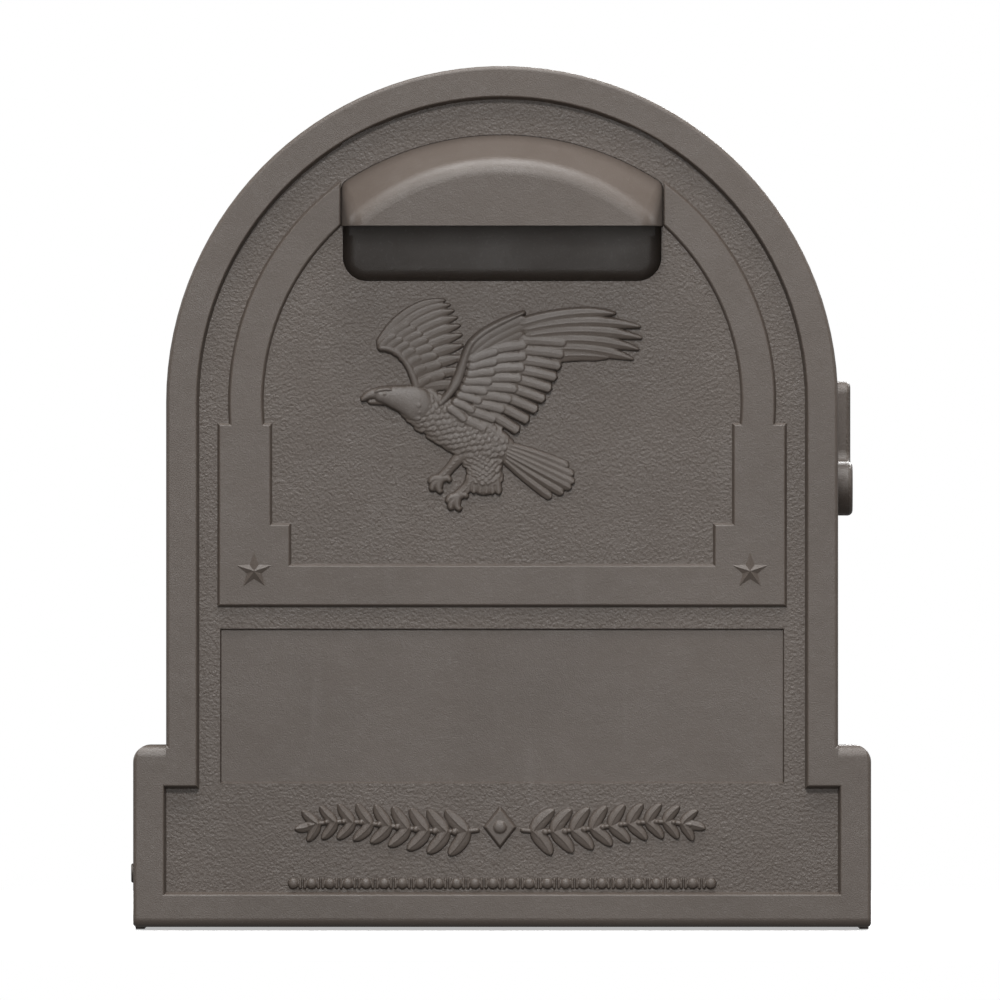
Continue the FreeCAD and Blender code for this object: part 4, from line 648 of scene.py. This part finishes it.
def sculpt_beads(relief, half, count):
    """A row of beads with a pair of short bars between neighbours; half is half its length."""
    pitch = 2 * half / (count - 1)
    for index in range(count):
        centre = np.array([-half + index * pitch, 0.0])
        if index % 2 == 0:
            button(relief, centre, 1.75, 0.5, 0.9)
        else:
            for shift in (-0.75, 0.75):
                reach = np.array([0.0, 1.3])
                dome(relief, [centre - reach + (shift, 0), centre + reach + (shift, 0)],
                     (0.48, 0.48), 0.5, 0.5)


# ---------------------------------------------------------------- meshes of the reliefs

RELIEF_ROOT = 0.8 * MM    # how far a relief's back lies inside the door's wall


def relief_mesh(name, relief, origin, surface_y):
    """A closed mesh from a height field, standing on a surface that faces -Y. Its origin on
    the door, across and up, is in millimetres."""
    height = relief.height
    keep = height > relief.SUNK + 0.02
    cells = keep[:-1, :-1] | keep[1:, :-1] | keep[:-1, 1:] | keep[1:, 1:]
    used = np.zeros(height.shape, bool)
    used[:-1, :-1] |= cells
    used[1:, :-1] |= cells
    used[:-1, 1:] |= cells
    used[1:, 1:] |= cells
    index = np.full(height.shape, -1)
    index[used] = np.arange(used.sum())

    x = (relief.x[used] + origin[0]) * MM
    z = (relief.z[used] + origin[1]) * MM
    front = surface_y - height[used] * MM
    back = np.full(front.shape, surface_y + RELIEF_ROOT)
    count = len(x)
    spots = np.concatenate([np.stack([x, front, z], 1), np.stack([x, back, z], 1)])

    # front and back faces of every cell
    rows, columns = np.nonzero(cells)
    a = index[rows, columns]
    b = index[rows, columns + 1]
    c = index[rows + 1, columns + 1]
    d = index[rows + 1, columns]
    faces = [np.stack([a, b, c, d], 1), np.stack([a, d, c, b], 1) + count]

    # a wall wherever the cell below, above, left or right is missing
    padded = np.pad(cells, 1)
    walls = (
        (padded[:-2, 1:-1], (0, 0), (0, 1)),
        (padded[2:, 1:-1], (1, 1), (1, 0)),
        (padded[1:-1, :-2], (1, 0), (0, 0)),
        (padded[1:-1, 2:], (0, 1), (1, 1)))
    for neighbours, first, second in walls:
        rows, columns = np.nonzero(cells & ~neighbours)
        start = index[rows + first[0], columns + first[1]]
        end = index[rows + second[0], columns + second[1]]
        faces.append(np.stack([end, start, start + count, end + count], 1))
    faces = np.concatenate(faces)

    mesh = bpy.data.meshes.new(name)
    mesh.from_pydata(spots.tolist(), [], faces.tolist())
    mesh.update()
    mesh.shade_smooth()
    piece = bpy.data.objects.new(name, mesh)
    bpy.context.scene.collection.objects.link(piece)
    return piece


def add_relief(name, relief, origin):
    """A sculpted piece on the door's sunk field, moulded with the door."""
    piece = relief_mesh(name, relief, origin, FIELD_Y)
    piece.data.materials.append(RELIEF)
    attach(piece, "door")


bird = Relief(-30, 68, -36, 40)
sculpt_bird(bird)
add_relief("door_bird_relief", bird, (-19.5, 171.0))

garland = Relief(-70, 70, -11, 11)
sculpt_garland(garland)
add_relief("door_leaf_garland", garland, (-0.7, 34.0))

beads = Relief(-74, 74, -3, 3)
sculpt_beads(beads, 69, 47)
add_relief("door_bead_row", beads, (0.0, 15.4))


# ---------------------------------------------------------------- camera, light and floor

VIEW_DISTANCE = 12.0
VIEW_WIDTH = 0.3306       # width of the picture at the door
SENSOR = 36
AIM = Vector((-0.7 * MM, BORDER_Y, 142.2 * MM))
MIDDLE = (0, 0, 0.14)
DOOR_MIDDLE = (0, -0.1, 0.14)
WORLD_LIGHT = 0.20
WORLD_SEEN = 1.0          # white backdrop
FLOOR_REACH = 1.0
FLOOR_CORNERS = 96
FLOOR_GAP = 0.2 * MM
FLOOR_GLOW = 0.45         # lifts the floor to the backdrop's white

camera_data = bpy.data.cameras.new("camera")
camera_data.sensor_width = SENSOR
camera_data.lens = SENSOR * VIEW_DISTANCE / VIEW_WIDTH
camera_data.clip_end = 60
camera = bpy.data.objects.new("camera", camera_data)
camera.location = AIM + Vector((0, -VIEW_DISTANCE, 0))
camera.rotation_euler = (math.radians(90), 0, 0)
bpy.context.scene.collection.objects.link(camera)
bpy.context.scene.camera = camera
bpy.context.scene.view_settings.view_transform = "Standard"


def area_light(name, spot, target, size, power):
    """A white rectangular light at a spot, turned to a target; size in metres, power in watts."""
    data = bpy.data.lights.new(name, "AREA")
    data.shape = "RECTANGLE"
    data.size, data.size_y = size
    data.energy = power
    light = bpy.data.objects.new(name, data)
    light.location = spot
    light.rotation_euler = (Vector(target) - Vector(spot)).to_track_quat("-Z", "Y").to_euler()
    bpy.context.scene.collection.objects.link(light)


area_light("key", (-0.12, -2.62, 1.78), DOOR_MIDDLE, (0.4, 0.4), 53)
area_light("overhead", (0, -0.5, 1.7), (0, -0.22, 0.1), (1.5, 1.0), 41)
area_light("front", (0.1, -3.2, 0.40), DOOR_MIDDLE, (1.2, 0.6), 20)
area_light("rear", (0.7, 2.2, 1.3), MIDDLE, (1.2, 1.0), 52)
area_light("left", (-2.2, 0.3, 1.1), MIDDLE, (1.2, 1.0), 14)
area_light("right", (2.2, 0.3, 1.1), MIDDLE, (1.2, 1.0), 14)


def soft_world():
    """Weak white light from all round, and a white backdrop for the camera."""
    world = bpy.data.worlds.new("world")
    bpy.context.scene.world = world
    nodes = Nodes(world)
    white = (1, 1, 1, 1)
    light = nodes.add("ShaderNodeBackground", {"Color": white, "Strength": WORLD_LIGHT})
    seen = nodes.add("ShaderNodeBackground", {"Color": white, "Strength": WORLD_SEEN})
    path = nodes.add("ShaderNodeLightPath")
    both = nodes.add("ShaderNodeMixShader", {
        0: path.outputs["Is Camera Ray"], 1: light.outputs[0], 2: seen.outputs[0]})
    nodes.add("ShaderNodeOutputWorld", {"Surface": both.outputs[0]})


def pale_floor():
    """A round floor just under the object."""
    mesh = bpy.data.meshes.new("floor")
    level = cad_bounds[0][2] - FLOOR_GAP
    turns = [2 * math.pi * index / FLOOR_CORNERS for index in range(FLOOR_CORNERS)]
    rim = [(FLOOR_REACH * math.cos(turn), FLOOR_REACH * math.sin(turn), level)
           for turn in turns]
    mesh.from_pydata(rim, [], [range(FLOOR_CORNERS)])
    floor = bpy.data.objects.new("floor", mesh)
    bpy.context.scene.collection.objects.link(floor)
    material, nodes = new_material("floor")
    nodes.surface({"Base Color": (0.72, 0.72, 0.72, 1), "Roughness": 0.9,
                   "Emission Color": (1, 1, 1, 1), "Emission Strength": FLOOR_GLOW})
    mesh.materials.append(material)
    floor.visible_diffuse = False
    floor.visible_glossy = False


soft_world()
pale_floor()
